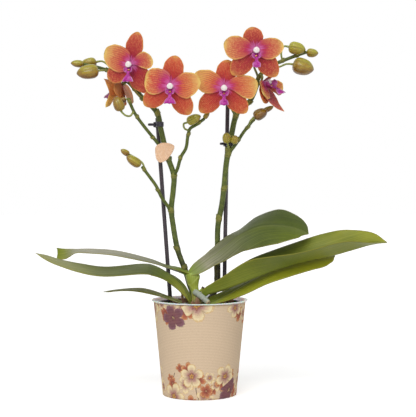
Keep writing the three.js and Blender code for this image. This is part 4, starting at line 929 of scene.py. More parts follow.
def makeSpikes():
    p = stemSkin
    skin = flowerStemSkin()
    lines = {}
    for name, spike in spikes.items():
        line = evenLine(spike["points"], p["spikeStep"])
        run = np.linspace(0, 1, len(line))
        radii = p["spikeLow"] + (p["spikeHigh"] - p["spikeLow"]) * ease(run, 0.6, 1.0)
        ring = np.zeros(len(line))
        for height, length, facing in spike["joints"]:
            gap = (np.arange(len(line)) - lineAtHeight(line, height)) * p["spikeStep"]
            radii = radii * (1 + p["swelling"] * np.exp(-(gap / 2.4) ** 2))
            ring = np.maximum(ring, 0.65 * np.exp(-((gap + 0.6) / 0.9) ** 2))
        heights, strengths = np.array(spike["flush"]).T
        flush = np.interp(line[:, 2], heights, strengths)
        shape = newShape()
        addStem(shape, line, radii, 20, (0.6, 0.8), 6, 0.018, flush=flush, ring=ring)
        for height, length, facing in spike["joints"]:
            at = lineAtHeight(line, height)
            addScale(shape, line, radii, at, length, facing, flush=flush[at] * 0.8)
        buildPiece("flowerSpike_" + name, shape, skin, ["flower_spike_" + name])
        lines[name] = line
    for name, branch in branches.items():
        line = evenLine(branch["points"], p["branchStep"])
        run = np.linspace(0, 1, len(line))
        radii = p["branch"] * (1 - 0.12 * run) * (1 + 0.35 * np.exp(-(run / 0.05) ** 2))
        ring = np.zeros(len(line))
        for share in branch["scales"]:
            gap = (run - share) * len(line) * p["branchStep"]
            radii = radii * (1 + 0.25 * np.exp(-(gap / 1.6) ** 2))
            ring = np.maximum(ring, 0.6 * np.exp(-(gap / 0.8) ** 2))
        shape = newShape()
        addStem(shape, line, radii, 16, (0.6, 0.8), 5, 0.02, flush=0.1, ring=ring)
        for i, share in enumerate(branch["scales"]):
            addScale(shape, line, radii, share * len(line), 3.6, (1 if i % 2 else -1, -1, 0), 100, 0.8)
        buildPiece(name.replace("branch_", "branch."), shape, skin, [name])
    return skin, lines


stemSkinMaterial, spikeLines = makeSpikes()
print("spikes and branches made")


# Buds: base, tip and radius of each pointed egg, and its stalk's route. brown is how far it has flushed brown.
buds = {
    "bud_left_large": {"base": [-112, -18, 363], "tip": [-136.5, -20, 359.5], "radius": 8, "brown": 0.36,
                       "stalk": [[-101, -6.5, 364.5], [-106, -13, 364]]},
    "bud_left_upper": {"base": [-116.5, 1, 375.5], "tip": [-135, 0, 371.5], "radius": 6.4, "brown": 0.3,
                       "stalk": [[-99, -6, 364], [-103, -3, 371], [-110, 0, 376]]},
    "bud_left_end": {"base": [-129.6, -9.6, 371.4], "tip": [-144, -11.5, 372.4], "radius": 4.1, "brown": 0.25,
                     "stalk": []},
    "bud_upper_branch_front": {"base": [-86.5, -25, 317.5], "tip": [-92.5, -26, 333.5], "radius": 6, "brown": 0.43,
                               "stalk": [[-73.5, -15, 317.5], [-77, -20, 312.5], [-82, -24, 313]]},
    "bud_upper_branch_back": {"base": [-81.5, -16.5, 331.5], "tip": [-91, -15, 329], "radius": 3.2, "brown": 0.6,
                              "stalk": [[-77.8, -17.5, 330], [-79, -17, 332]]},
    "bud_lower_branch": {"base": [-66, -8.6, 258], "tip": [-81.5, -13.5, 268], "radius": 5.4, "brown": 0.22,
                         "stalk": []},
    "bud_lower_branch_end": {"base": [-79.5, -3, 270.5], "tip": [-88.5, -6, 276], "radius": 3.4, "brown": 0.35,
                             "stalk": [[-61.5, -7, 253.5], [-64.5, -1.5, 261], [-72, -1.5, 267]]},
    "bud_inner_branch": {"base": [-13.5, -18, 305.5], "tip": [1.5, -22.5, 312.5], "radius": 5.4, "brown": -0.06,
                         "stalk": [[-12, -11.5, 297], [-16.5, -14, 299], [-17.5, -16.5, 304]]},
    "bud_inner_branch_end": {"base": [5.2, -17.5, 309.8], "tip": [10.6, -18.5, 317.5], "radius": 2.8, "brown": 0.3,
                             "stalk": []},
    "bud_right_front": {"base": [31.5, 1.5, 284], "tip": [29.6, -2.5, 295.5], "radius": 5.1, "brown": 0.15,
                        "stalk": [[32.7, 9.5, 277], [32.5, 3.5, 280]]},
    "bud_right_side": {"base": [38.6, -1, 283], "tip": [41, -4.5, 292], "radius": 4.3, "brown": 0.2,
                       "stalk": [[35.3, 9, 290], [37.4, 3.5, 288], [38, 0.5, 285]]},
    "bud_right_branch": {"base": [61, -12, 311.5], "tip": [75.5, -14, 319.5], "radius": 6.2, "brown": 0.62,
                         "stalk": [[54, -2.5, 301.5], [55.5, -7, 304.5], [57.5, -10.5, 308.5]]},
    "bud_right_branch_end": {"base": [71, -4, 319], "tip": [83, -7, 324.5], "radius": 3, "brown": 0.35,
                             "stalk": [[60.5, -5.5, 309.5], [65, -3.5, 314.5]]},
    "bud_right_upper": {"base": [99.5, -12, 390.5], "tip": [118.5, -13.5, 386.5], "radius": 7, "brown": 0.02,
                        "stalk": [[93, -7, 375.3], [91.5, -9.5, 384], [94.5, -11.5, 391]]},
    "bud_right_lower": {"base": [104, -13, 370.8], "tip": [127.5, -15, 364.2], "radius": 9.4, "brown": 0.35,
                        "stalk": [[80, -6, 370.3], [88, -11.5, 367.8], [97, -13, 371]]},
    "bud_right_end": {"base": [119.7, -10, 384.6], "tip": [133, -11, 383.5], "radius": 4.9, "brown": 0.2,
                      "stalk": []},
}
budShape = {
    "along": [0, 0.015, 0.06, 0.14, 0.25, 0.38, 0.5, 0.62, 0.74, 0.84, 0.92, 0.97, 1],
    "across": [0, 0.34, 0.64, 0.86, 0.98, 1.0, 0.98, 0.92, 0.8, 0.62, 0.4, 0.2, 0],
    "seam": 0.085, "stalkRadius": 1.1,
}


def budSkin():  # firm waxy sepals, yellow-green flushed brown and rose, with fine veins running to the tip
    material, add, shader = newMaterial("budSkin", **{
        "IOR": 1.45, "Specular IOR Level": 0.4, "Coat Weight": 0.35, "Coat Roughness": 0.16})
    place = add("TexCoord", output=3)
    along, turn, brown, stalk, seam = (
        add("Attribute", output=2, attribute_name=key) for key in ("along", "turn", "brown", "stalk", "seam"))
    cloud = add("TexNoise", {"Vector": place, "Scale": perMm(7), "Detail": 4, "Roughness": 0.6})
    tone = add("Math", {0: cloud, 1: 0.9, 2: add("Math", {0: brown, 1: -0.28}, operation="ADD")},
               operation="MULTIPLY_ADD")
    colour = add("ValToRGB", {0: tone}, stops=[(0.1, "#b1ae34"), (0.35, "#a9992a"), (0.58, "#9f7d22"),
                                               (0.8, "#865a1f"), (1.0, "#63401d")])
    bent = add("Math", {0: cloud, 1: 0.8, 2: turn}, operation="MULTIPLY_ADD")
    fold = add("Math", {0: add("Math", {0: bent, 1: 12}, operation="MULTIPLY")}, operation="SINE")
    vein = add("MapRange", {0: fold, 1: 0.3, 2: 1, 3: 0, 4: 0.45})
    tip = add("MapRange", {0: along, 1: 0.86, 2: 1.0, 3: 0, 4: 0.6})
    green = add("ValToRGB", {0: cloud}, stops=[(0.3, "#7c8a3a"), (0.7, "#a8ad55")])
    rough = add("MapRange", {0: cloud, 1: 0.3, 2: 0.7, 3: 0.33, 4: 0.45})
    return finishMaterial(material, shader, colour, rough, fold, 0.05, [
        (vein, "#7b6630"), (tip, "#6d4a2c"), (seam, "#6f5a2b"), (stalk, green)])


def addBud(shape, bud, turnStart):
    base, tip = np.array(bud["base"], float), np.array(bud["tip"], float)
    length = np.linalg.norm(tip - base)
    axis = (tip - base) / length
    side = unit(np.cross(axis, [0.2, 1, 0.3]))
    other = np.cross(axis, side)
    u = 0.5 - 0.5 * np.cos(np.linspace(0, math.pi, 49))
    across = smoothCurve(np.array([budShape["along"], budShape["across"]]).T, np.linspace(0, 1, 300))
    radius = np.interp(u, across[:, 0], np.maximum(across[:, 1], 0)) * bud["radius"]
    turn = np.linspace(0, 2 * math.pi, 48, endpoint=False)
    third = (turn[None] + turnStart) * 3 + 0.5 * u[:, None]
    seam = np.exp(-((1 - np.cos(third)) / 0.03))  # the line where two sepals meet
    swell = 1 - budShape["seam"] * seam * np.sin(math.pi * np.clip(u, 0, 1))[:, None] ** 0.4
    swell = swell - 0.045 * np.cos(third)
    ridge = 0.02 * np.exp(-((1 + np.cos(third)) / 0.02))
    wide = radius[:, None] * (swell + ridge)
    bow = 0.05 * length * np.sin(math.pi * u)  # a bud bulges more on one side
    centre = base + axis * (u * length)[:, None] + other * bow[:, None] * 0.4
    ring = np.cos(turn)[None, :, None] * side + np.sin(turn)[None, :, None] * other
    points = centre[:, None] + ring * wide[..., None]
    along = u[:, None] * np.ones_like(turn)
    addGrid(shape, points, around=True, along=along, turn=np.broadcast_to(turn, points.shape[:2]),
            brown=bud["brown"] - 0.3 * ring[..., 2] * np.ones_like(along), seam=seam * 0.5, stalk=0)
    if bud["stalk"]:
        line = evenLine(bud["stalk"] + [bud["base"], (base + axis * 0.2 * length).tolist()], 0.7)
        run = np.linspace(0, 1, len(line))
        flare = 0.45 * np.exp(-((run - 0.02) / 0.05) ** 2) + 0.35 * ease(run, 0.7, 0.95)
        addStem(shape, line, budShape["stalkRadius"] * (1 + flare), 14, (0.7, 0.2), 3, 0.04, stalk=1, brown=0)


def makeBuds():
    skin = budSkin()
    for i, (name, bud) in enumerate(buds.items()):
        shape = newShape()
        addBud(shape, bud, 0.7 * i)
        buildPiece(name.replace("bud_", "bud."), shape, skin, [name])


makeBuds()
print("buds made")


# Flowers: a sepal or petal is its angle in the flower's plane, length and half-width, then its own lift and bend of
# the bowl, then for each half, clockwise one first, its share of the width, where it is widest and how pointed its
# outline is, and last how much redder (below 0) or yellower it is. turn is about Z towards +X, and nod is how far
# the face looks down.
flowers = {
    "flower_1": {
        "centre": [-75.5, -30, 368.8], "turn": -20, "nod": 12, "bowl": (8, -16), "warmth": 0.3, "lipWide": 1.1,
        "sepals": [(70.5, 36.5, 10.2), (208, 33, 11, None, None, -0.12),
                   (-57, 38, 11.5, None, ((1.2, 0.48, 0.5), (1.12, 0.44, 0.5)), -0.15)],
        "petals": [(158, 32.5, 15, None, ((1.06, 0.44, 0.3), (0.9, 0.38, 0.5)), 0.15),
                   (3, 28, 11.5, None, ((0.62, 0.75, 0.5), (1.02, 0.62, 0.5)), -0.15)],
        "stalk": [[-74.6, -2.2, 346.5], [-73, -10, 356], [-73, -19, 365]]},
    "flower_2": {
        "centre": [-31, -46, 343.1], "turn": -5, "nod": 12, "bowl": (6, -16), "warmth": 0.8, "lipWide": 1.1,
        "sepals": [(79, 33, 11.5), (215, 37, 11), (-57, 38, 11.2)],
        "petals": [(168, 28.5, 15.5, None, ((1.06, 0.45, 0.24), (0.85, 0.6, 0.5)), -0.25),
                   (6, 33, 14, None, ((1.1, 0.46, 0.65), (0.9, 0.58, 0.45)), 0.1)],
        "stalk": [[-50.5, 2.5, 321], [-50, -6, 326], [-44, -18, 335], [-35, -32, 342]]},
    "flower_3": {
        "centre": [26.9, -38, 342], "turn": 0, "nod": 12, "bowl": (6, -16), "warmth": 0.75, "lipWide": 0.82,
        "sepals": [(82, 30.5, 11.2), (226, 38, 10.8), (-48, 37.5, 10.8)],
        "petals": [(163, 35.5, 13, None, ((1.04, 0.54, 0.33), (0.88, 0.5, 0.6)), 0.25),
                   (4, 37, 13, None, ((1.12, 0.72, 0.7), (0.95, 0.56, 0.4)), 0.05)],
        "stalk": [[41.5, 6.5, 315], [37.5, -3, 319], [32.5, -15, 329], [28, -27, 339]]},
    "flower_4": {
        "centre": [61.4, -50, 381.4], "turn": 2, "nod": 12, "bowl": (6, -16), "warmth": 0.2, "lipWide": 0.7,
        "sepals": [(104.5, 25, 11.2), (226, 37.5, 11), (-51, 37, 11)],
        "petals": [(170, 35.5, 13, None, ((0.87, 0.58, 0.5), (1.12, 0.6, 0.65))),
                   (7, 30, 11.5, None, ((1.05, 0.42, 0.6), (0.98, 0.45, 0.4)))],
        "stalk": [[66, -3.5, 356.5], [64.5, -9, 360], [60.5, -22, 367.5], [60, -37, 377]]},
    "flower_5": {
        "centre": [-88, 4, 350.8], "turn": -102.7, "nod": 24.8, "bowl": (20, -10), "warmth": 0.9, "lipWide": 1.0,
        # flower 5's stalk is painted paler to lift the shade it lies in
        "lipTilt": -52, "lipSize": 1.2, "stalkPaintedLight": 0.7,
        "sepals": [(15, 20, 18, (56, -6)), (237, 25, 19, (0, -4)), (-57, 27, 16)],
        "petals": [(200, 24, 12, (40, -6)), (-60, 34, 15, (54, -4), ((0.65, 0.5, 0.5), (0.65, 0.5, 0.8)), 0.3)],
        "stalk": [[-64, 0.2, 335], [-67, -3.5, 336], [-71, -6, 340], [-76, -6.5, 346.5], [-80, -1, 351]]},
    "flower_6": {
        "centre": [72, -14, 349.5], "turn": 60.3, "nod": -12, "bowl": (10, -6), "warmth": 0.6, "lipWide": 1.0,
        "lipTilt": -18, "lipRoll": 15, "lipSize": 1.22, "lobes": 1.6,
        "sepals": [(90, 17, 8.5, (70, 6)), (244, 26, 11, (4, -6)),
                   (-82, 41, 14, (-2, 50), ((1, 0.36, 0.7), (1, 0.36, 0.7)), -0.4)],
        "petals": [(226, 22, 12, (14, -30)), (-44, 24, 15, (36, 6))],
        "stalk": [[66.2, -3.2, 358], [68.5, -7, 359.5], [70.3, -10.5, 357], [69.2, -12, 352.5]]},
}
flowerForm = {
    "start": 1.2, "neck": 1.1, "bowlReach": 35, "receptacle": 2.9, "behind": 1.6, "thickness": 0.62,
    "petalLayer": 1.35,
    "sepal": {"peak": 0.54, "blunt": 0.54, "crease": 0.5, "curl": -0.4, "ruffle": 0.25, "waves": 1.6,
              "tipCurl": -0.6},
    "petal": {"peak": 0.57, "blunt": 0.44, "crease": 0.2, "curl": 0.35, "ruffle": 0.6, "waves": 2.3,
              "tipCurl": 0.2},
    "stalkRadius": 1.25, "stalkStep": 0.6,
}


def lobe(share, peak, blunt):
    return np.abs(np.sin(math.pi * np.clip(share, 0, 1) ** (math.log(0.5) / math.log(peak)))) ** blunt


def onBowl(x, y, height, bowl):
    radius = flowerForm["receptacle"]
    distance = np.hypot(x, y)
    lift, bend = math.radians(bowl[0]), math.radians(bowl[1]) / flowerForm["bowlReach"]
    beyond = np.maximum(distance - radius, 0)
    slope = lift + bend * beyond
    out = distance > radius
    tilt = np.where(out, slope, 0)
    arc = np.where(out, (np.sin(slope) - math.sin(lift)) / bend, distance - radius)
    forward = np.where(out, (math.cos(lift) - np.cos(slope)) / bend, 0)
    stretch = (radius + arc - height * np.sin(tilt)) / distance
    return np.stack([x * stretch, y * stretch, forward + height * np.cos(tilt)], -1)


def addTepal(shape, tepal, form, layer, flower, place, rows=44, columns=30):
    angle, length, width, bowl, sides, tint = tepal + (None, None, 0)[len(tepal) - 3:]
    bowl, sides = bowl or flower["bowl"], sides or ((1, form["peak"], form["blunt"]),) * 2
    p = flowerForm
    u = np.linspace(0, 1, rows + 1)[:, None]
    share = 0.2 * u + 0.8 * np.sin(math.pi / 2 * u)
    v = np.linspace(-1, 1, columns + 1)[None]
    v = np.sin(math.pi / 2 * v) * 0.5 + v * 0.5  # closer together towards the margins
    neck = p["neck"] * (1 - ease(share, 0.5, 0.9)) + 0.16
    halves = (np.maximum(width * part * lobe(share, peak, blunt), neck) for part, peak, blunt in sides)
    half = np.where(v < 0, *halves)
    along = p["start"] + share * (length - p["start"])
    phase = chance.uniform(0, 6.28)
    edge = 0.025 * np.sin(9 * share + phase) + 0.015 * np.sin(23 * share + 2 * phase)
    edge = 1 + edge * ease(share, 0.3, 0.5)
    across = v * half * edge
    crease = -form["crease"] * np.exp(-(v / 0.1) ** 2) * np.sin(math.pi * np.clip(share * 1.05, 0, 1))
    curl = form["curl"] * np.abs(v) ** 2.4 * share * half / 8
    wave = form["ruffle"] * np.abs(v) ** 3 * share * (1 + np.sin(2 * math.pi * form["waves"] * share + phase + v))
    tip = form["tipCurl"] * ease(share, 0.7, 1.0)
    veins = 0.05 * np.cos(v * 16) * (1 - share)
    relief = layer + crease + curl + wave + tip + veins
    thick = (1 - 0.55 * v ** 2) * (1 - 0.5 * ease(share, 0.8, 1)) + 1 - ease(share, 0, 0.2)
    thick = p["thickness"] / 2 * thick
    direction = math.radians(angle)
    x = along * math.cos(direction) - across * math.sin(direction)
    y = along * math.sin(direction) + across * math.cos(direction)
    front, back = (place(onBowl(x, y, relief + side * thick, bowl)) for side in (1, -1))
    rim = np.minimum((1 - np.abs(v)) * half * 1.3, (1 - share) * length * 0.5)
    addSkin(shape, front, back, along=share, across=v, rim=rim, reach=np.hypot(x, y), face=(1, 0),
            warmth=flower["warmth"], tint=tint)


# From the flower's own axes, x to its side, y up its face and z out of its face, to the plant's
def flowerPlace(flower):
    turn = turnMatrix((0, 0, 1), flower["turn"]) @ turnMatrix((1, 0, 0), flower["nod"]) @ turnMatrix((1, 0, 0), 90)
    centre = np.array(flower["centre"], float)
    return lambda points: np.asarray(points, float) @ turn.T + centre


# Tepal colours: cool and warm ramps run from heart to tip, rimWide is in mm, and glow is how far the magenta flames
tepalInk = {
    "sepal": {"name": "sepalTissue",
              "cool": [(0.0, "#93194c"), (0.25, "#a22039"), (0.55, "#ab3038"), (0.8, "#b3403d"), (1.0, "#cc8250")],
              "warm": [(0.0, "#a51e46"), (0.25, "#c02e32"), (0.55, "#cf462d"), (0.8, "#d95c34"), (1.0, "#e39a4c")],
              "rim": "#e4a552", "rimWide": 1.9, "rimShare": 0.8, "edge": "#d26540", "glow": 12, "back": "#cf8a48",
              "vein": "#8c1f2e", "grain": "#e48a58"},
    "petal": {"name": "petalTissue",
              "cool": [(0.0, "#bb2c7c"), (0.22, "#c03454"), (0.5, "#c7504a"), (0.75, "#d07550"), (1.0, "#e4ae64")],
              "warm": [(0.0, "#c03074"), (0.22, "#cf4046"), (0.5, "#db623a"), (0.75, "#e58a46"), (1.0, "#f0c067")],
              "rim": "#f2cf74", "rimWide": 2.7, "rimShare": 0.9, "edge": "#e39a55", "glow": 17.5, "back": "#daa24c",
              "vein": "#b0304a", "grain": "#eeae70"},
}


def tepalTissue(ink):  # velvety thin flesh: magenta heart, crimson to orange outwards, a yellow rim, fine veins
    material, add, shader = newMaterial(ink["name"], **{"IOR": 1.4, "Specular IOR Level": 0.35})
    along, across, rim, reach, face, warmth, tint = (
        add("Attribute", output=2, attribute_name=key)
        for key in ("along", "across", "rim", "reach", "face", "warmth", "tint"))
    place = add("TexCoord", output=3)
    cloud = add("TexNoise", {"Vector": place, "Scale": perMm(5), "Detail": 3})
    grain = add("TexNoise", {"Vector": place, "Scale": perMm(1.5), "Detail": 3, "Roughness": 0.75})
    tone = add("Math", {0: cloud, 1: 0.4, 2: add("Math", {0: along, 1: -0.2}, operation="ADD")},
               operation="MULTIPLY_ADD")
    tone = add("Math", {0: tone, 1: tint}, operation="ADD")
    cool, warm = (add("ValToRGB", {0: tone}, stops=ink[key]) for key in ("cool", "warm"))
    aside = add("Math", {0: across}, operation="ABSOLUTE")
    aside = add("MapRange", {0: aside, 1: 0.35, 2: 1.0, 3: 0, 4: 0.5})
    mottle = add("MapRange", {0: grain, 1: 0.46, 2: 0.6, 3: 0, 4: 0.75})
    mottle = add("Math", {0: mottle, 1: add("MapRange", {0: along, 1: 0.2, 2: 0.8})}, operation="MULTIPLY")
    bent = add("Math", {0: cloud, 1: 0.16, 2: across}, operation="MULTIPLY_ADD")
    vein = add("Math", {0: bent, 1: 0.075}, operation="PINGPONG")
    vein = add("MapRange", {0: vein, 1: 0, 2: 0.05, 3: 0.75, 4: 0}, interpolation_type="SMOOTHSTEP")
    vein = add("Math", {0: vein, 1: add("MapRange", {0: along, 1: 0.2, 2: 0.95, 3: 1, 4: 0.4})},
               operation="MULTIPLY")
    vein = add("Math", {0: vein, 1: add("MapRange", {0: face, 3: 0.5, 4: 1})}, operation="MULTIPLY")
    behind = add("MapRange", {0: face, 3: 0.72, 4: 0})
    rimWide = add("MapRange", {0: grain, 1: 0.3, 2: 0.7, 3: ink["rimWide"] * 0.4, 4: ink["rimWide"] * 1.6})
    rimFade = add("MapRange", {0: add("Math", {0: rim, 1: rimWide}, operation="DIVIDE"), 3: ink["rimShare"], 4: 0},
                  interpolation_type="SMOOTHSTEP")
    rimFade = add("Math", {0: rimFade, 1: add("MapRange", {0: along, 1: 0.25, 2: 0.65})}, operation="MULTIPLY")
    whisker = add("TexNoise", {"W": add("Math", {0: across, 1: 5}, operation="MULTIPLY"), "Scale": 1, "Detail": 2},
                  noise_dimensions="1D")
    glow = add("Math", {0: whisker, 1: -ink["glow"], 2: reach}, operation="MULTIPLY_ADD")
    glow = add("MapRange", {0: glow, 1: -2.5, 2: 5.5, 3: 0.92, 4: 0}, interpolation_type="SMOOTHSTEP")
    glow = add("Math", {0: glow, 1: add("MapRange", {0: face, 3: 0.3, 4: 1})}, operation="MULTIPLY")
    blush = add("Mix", {0: warmth, 6: "#b82858", 7: "#cc327c"}, output=2, data_type="RGBA")
    heart = add("Math", {0: whisker, 1: -14, 2: reach}, operation="MULTIPLY_ADD")
    heart = add("MapRange", {0: heart, 1: -3.5, 2: 2.5, 3: 0.62, 4: 0})
    heart = add("Math", {0: heart, 1: face}, operation="MULTIPLY")
    rough = add("MapRange", {0: grain, 1: 0.3, 2: 0.7, 3: 0.45, 4: 0.6})
    relief = add("Math", {0: vein, 1: -1.2, 2: grain}, operation="MULTIPLY_ADD")
    return finishMaterial(material, shader, cool, rough, relief, 0.1, [
        (warmth, warm), (aside, ink["edge"]), (mottle, ink["grain"]), (vein, ink["vein"]), (behind, ink["back"]),
        (rimFade, ink["rim"]), (glow, blush), (heart, "#e08acb")])


# Column and lip
column = {
    # stations: distance out of the face and up, half-width, half-height
    "stations": [[0, 0.2, 2.5, 2.3], [1.8, 0.3, 2.5, 2.3], [4, 0.4, 3.1, 2.8], [6, 0.4, 3.6, 3.3],
                 [7.4, 0.3, 3.4, 3.4], [8.4, 0.0, 2.4, 2.6], [8.9, -0.3, 0.2, 0.2]],
    "cavity": 0.9,
}
lip = {
    # stations: distance up the face and out of it, half-width, how far the margins rise
    "stations": [[-3.4, 3.7, 1.6, 0.6], [-5.4, 5.5, 2.2, 1.2], [-7.8, 7.6, 1.9, 1.0], [-11.2, 10.2, 1.8, 0.6],
                 [-13.4, 11.8, 4.9, -0.8], [-15.2, 13.0, 6.0, -1.8], [-16.8, 13.7, 3.4, -0.8], [-18.6, 13.8, 0.4, 0]],
    "thickness": 0.8,
    "sideFoot": [[1.7, -3.6, 4.7], [2.1, -5.8, 6.6], [1.9, -8.8, 8.6]], "sideRise": [2.5, 2.3, 2.2],
    "callus": {"radius": 0.75, "up": -5.6, "out": 6.9},
}


def columnTissue():  # fleshy white column with a lilac foot and a cream cap, and painted shade in the hollow beneath it
    material, add, shader = newMaterial("columnTissue", IOR=1.42, Roughness=0.35)
    along, under = (add("Attribute", output=2, attribute_name=key) for key in ("along", "under"))
    cloud = add("TexNoise", {"Vector": add("TexCoord", output=3), "Scale": perMm(2), "Detail": 3})
    tone = add("Math", {0: cloud, 1: 0.25, 2: add("Math", {0: along, 1: -0.12}, operation="ADD")},
               operation="MULTIPLY_ADD")
    colour = add("ValToRGB", {0: tone}, stops=[(0.0, "#b945a0"), (0.3, "#d48cc4"), (0.55, "#e6c0dc"),
                                               (0.8, "#f4e6ee"), (0.95, "#f8f0ea")])
    # painted shade: the hollow under the column is darkened to deep magenta
    hollow = add("Math", {0: under, 1: 0.75}, operation="MULTIPLY")
    return finishMaterial(material, shader, colour, None, cloud, 0.05, [(hollow, "#a3307e")])


def lipTissue():  # glossy magenta flesh, white along its shoulders and side lobes, yellow callus with red freckles
    material, add, shader = newMaterial("lipTissue", IOR=1.42, Roughness=0.36)
    along, rim, side, callus = (
        add("Attribute", output=2, attribute_name=key) for key in ("along", "rim", "sideLobe", "callus"))
    place = add("TexCoord", output=3)
    cloud = add("TexNoise", {"Vector": place, "Scale": perMm(2.5), "Detail": 3})
    colour = add("ValToRGB", {0: cloud}, stops=[(0.3, "#8f1478"), (0.5, "#b01e90"), (0.7, "#c742a6")])
    shoulder = add("MapRange", {0: rim, 1: 0.1, 2: 1.5, 3: 0.75, 4: 0}, interpolation_type="SMOOTHSTEP")
    shoulder = add("Math", {0: shoulder, 1: 0.55}, operation="MULTIPLY")
    upper = add("MapRange", {0: along, 1: 0.7, 2: 0.86, 3: 1, 4: 0.2})
    lower = add("MapRange", {0: along, 1: 0.5, 2: 0.6, 3: 0.1, 4: 1})
    white = add("Math", {0: shoulder, 1: add("Math", {0: upper, 1: lower}, operation="MULTIPLY")},
                operation="MULTIPLY")
    tip = add("MapRange", {0: along, 1: 0.93, 2: 1.0, 3: 0, 4: 0.7})
    stripe = add("TexNoise", {"Vector": place, "Scale": perMm(1.3), "Detail": 2})
    pale = add("Math", {0: side, 1: add("MapRange", {0: stripe, 1: 0.4, 2: 0.62, 3: 0.05, 4: 0.6})},
               operation="MULTIPLY")
    freckle = add("ValToRGB", {0: stripe}, stops=[(0.42, "#8f2b34"), (0.5, "#d98a3a"), (0.62, "#ecc46a")])
    return finishMaterial(material, shader, colour, None, stripe, 0.06, [
        (white, "#efdcee"), (tip, "#e6c4e4"), (pale, "#dc84c0"), (callus, freckle)])


def addColumn(shape, place):
    stations = np.array(column["stations"], float)
    u = np.linspace(0, 1, 40)
    out, up, wide, tall = smoothCurve(stations, u).T[:, :, None]
    turn = np.linspace(0, 2 * math.pi, 36, endpoint=False)[None]
    below = np.exp(-((turn - 1.5 * math.pi) / 0.5) ** 2)
    hollow = column["cavity"] * below * np.exp(-((out - 5.6) / 1.1) ** 2)
    groove = 0.12 * np.exp(-((out - 6.7) / 0.25) ** 2)  # where the cap meets the column
    wide, tall = np.maximum(wide, 0.02), np.maximum(tall, 0.02)
    x = (wide - groove) * np.cos(turn) * (1 - 0.14 * np.sin(turn) - 0.12 * np.sin(turn) ** 2)  # narrower at the beak
    y = up + (tall - groove - hollow) * np.sin(turn)
    points = place(np.stack([x, y, out * np.ones_like(turn)], -1))
    points = np.concatenate([points[:1].mean(axis=1, keepdims=True) + 0 * points[:1], points,
                             points[-1:].mean(axis=1, keepdims=True) + 0 * points[-1:]])  # closes the two ends
    index = np.concatenate([[0], np.arange(40), [39]])
    along = out / 8.8 * np.ones_like(turn)
    # the hollow's depth goes to the material as painted shade
    addGrid(shape, points, around=True, along=along[index], under=hollow[index])


def addLip(shape, flower, place):
    tilt = turnMatrix((1, 0, 0), flower.get("lipTilt", 0)) @ turnMatrix((0, -0.83, 0.55), flower.get("lipRoll", 0))
    stations = np.array(lip["stations"], float)
    root = np.array([0, stations[0, 0], stations[0, 1]])
    tilted = lambda points: place((points - root) @ tilt.T * flower.get("lipSize", 1) + root)
    rows, columns = 44, 26
    u = np.linspace(0, 1, rows + 1)
    y, z, wide, rise = smoothCurve(stations, u).T
    wide = np.maximum(wide, 0.25) * (1 + (flower["lipWide"] - 1) * ease(u, 0.5, 0.7))
    line = np.stack([0 * y, y, z], -1)
    heading = unit(np.gradient(line, axis=0))
    normal = np.stack([0 * y, heading[:, 2], -heading[:, 1]], -1)
    v = np.linspace(-1, 1, columns + 1)[None]
    # the shoulders hang back, and a keel rises along the middle
    sweep = 1.6 * np.abs(v) ** 1.5 * ease(u, 0.5, 0.7)[:, None] * (1 - ease(u, 0.8, 1))[:, None]
    keel = 0.35 * np.exp(-(v / 0.14) ** 2) * (ease(u, 0.35, 0.6) * (1 - ease(u, 0.85, 1)))[:, None]
    lift = v ** 2 * rise[:, None] + keel
    points = line[:, None] + (v * wide[:, None])[..., None] * np.array([1.0, 0, 0])
    points = points + heading[:, None] * (sweep * wide[:, None] / 5)[..., None]
    thick = lip["thickness"] * (1 - 0.5 * v ** 2) * np.ones((rows + 1, 1))
    front = tilted(points + normal[:, None] * lift[..., None])
    back = tilted(points + normal[:, None] * (lift - thick)[..., None])
    rim = np.minimum((1 - np.abs(v)) * wide[:, None], (1 - u)[:, None] * 12)
    addSkin(shape, front, back, along=u[:, None], rim=rim, sideLobe=0, callus=0)
    s = np.linspace(0, 1, 19)[:, None]
    t = np.linspace(0, 1, 15)[None]
    for hand in (-1, 1):
        spread = 0.5 + (s - 0.5) * np.sqrt(np.maximum(1 - (0.97 * t) ** 2.2, 0.001))
        foot = smoothCurve(lip["sideFoot"], np.clip(spread, 0, 1))
        rises = lip["sideRise"]
        climb = np.stack([rises[0] * np.sin(t * 2.0) / 0.91, rises[1] * t, rises[2] * t], -1)
        lobePoints = (foot + climb * flower.get("lobes", 1)) * np.array([hand, 1, 1])
        out = np.array([hand * 0.22, 0, 0])
        edge = np.minimum(np.minimum(s, 1 - s) * 5, (1 - t) * 4)
        addSkin(shape, tilted(lobePoints + out), tilted(lobePoints - out), along=0.55, rim=edge, sideLobe=1, callus=0)
    callus = lip["callus"]
    for hand in (-1, 0, 1):
        spot = [callus["radius"] * hand, callus["up"] - 0.5 * abs(hand), callus["out"] + 0.2 * abs(hand)]
        addLump(shape, tilted(np.array([spot]))[0], (callus["radius"],) * 3, None, 0.9, 8, 10, 0.05,
                callus=1, rim=3, along=0.2)


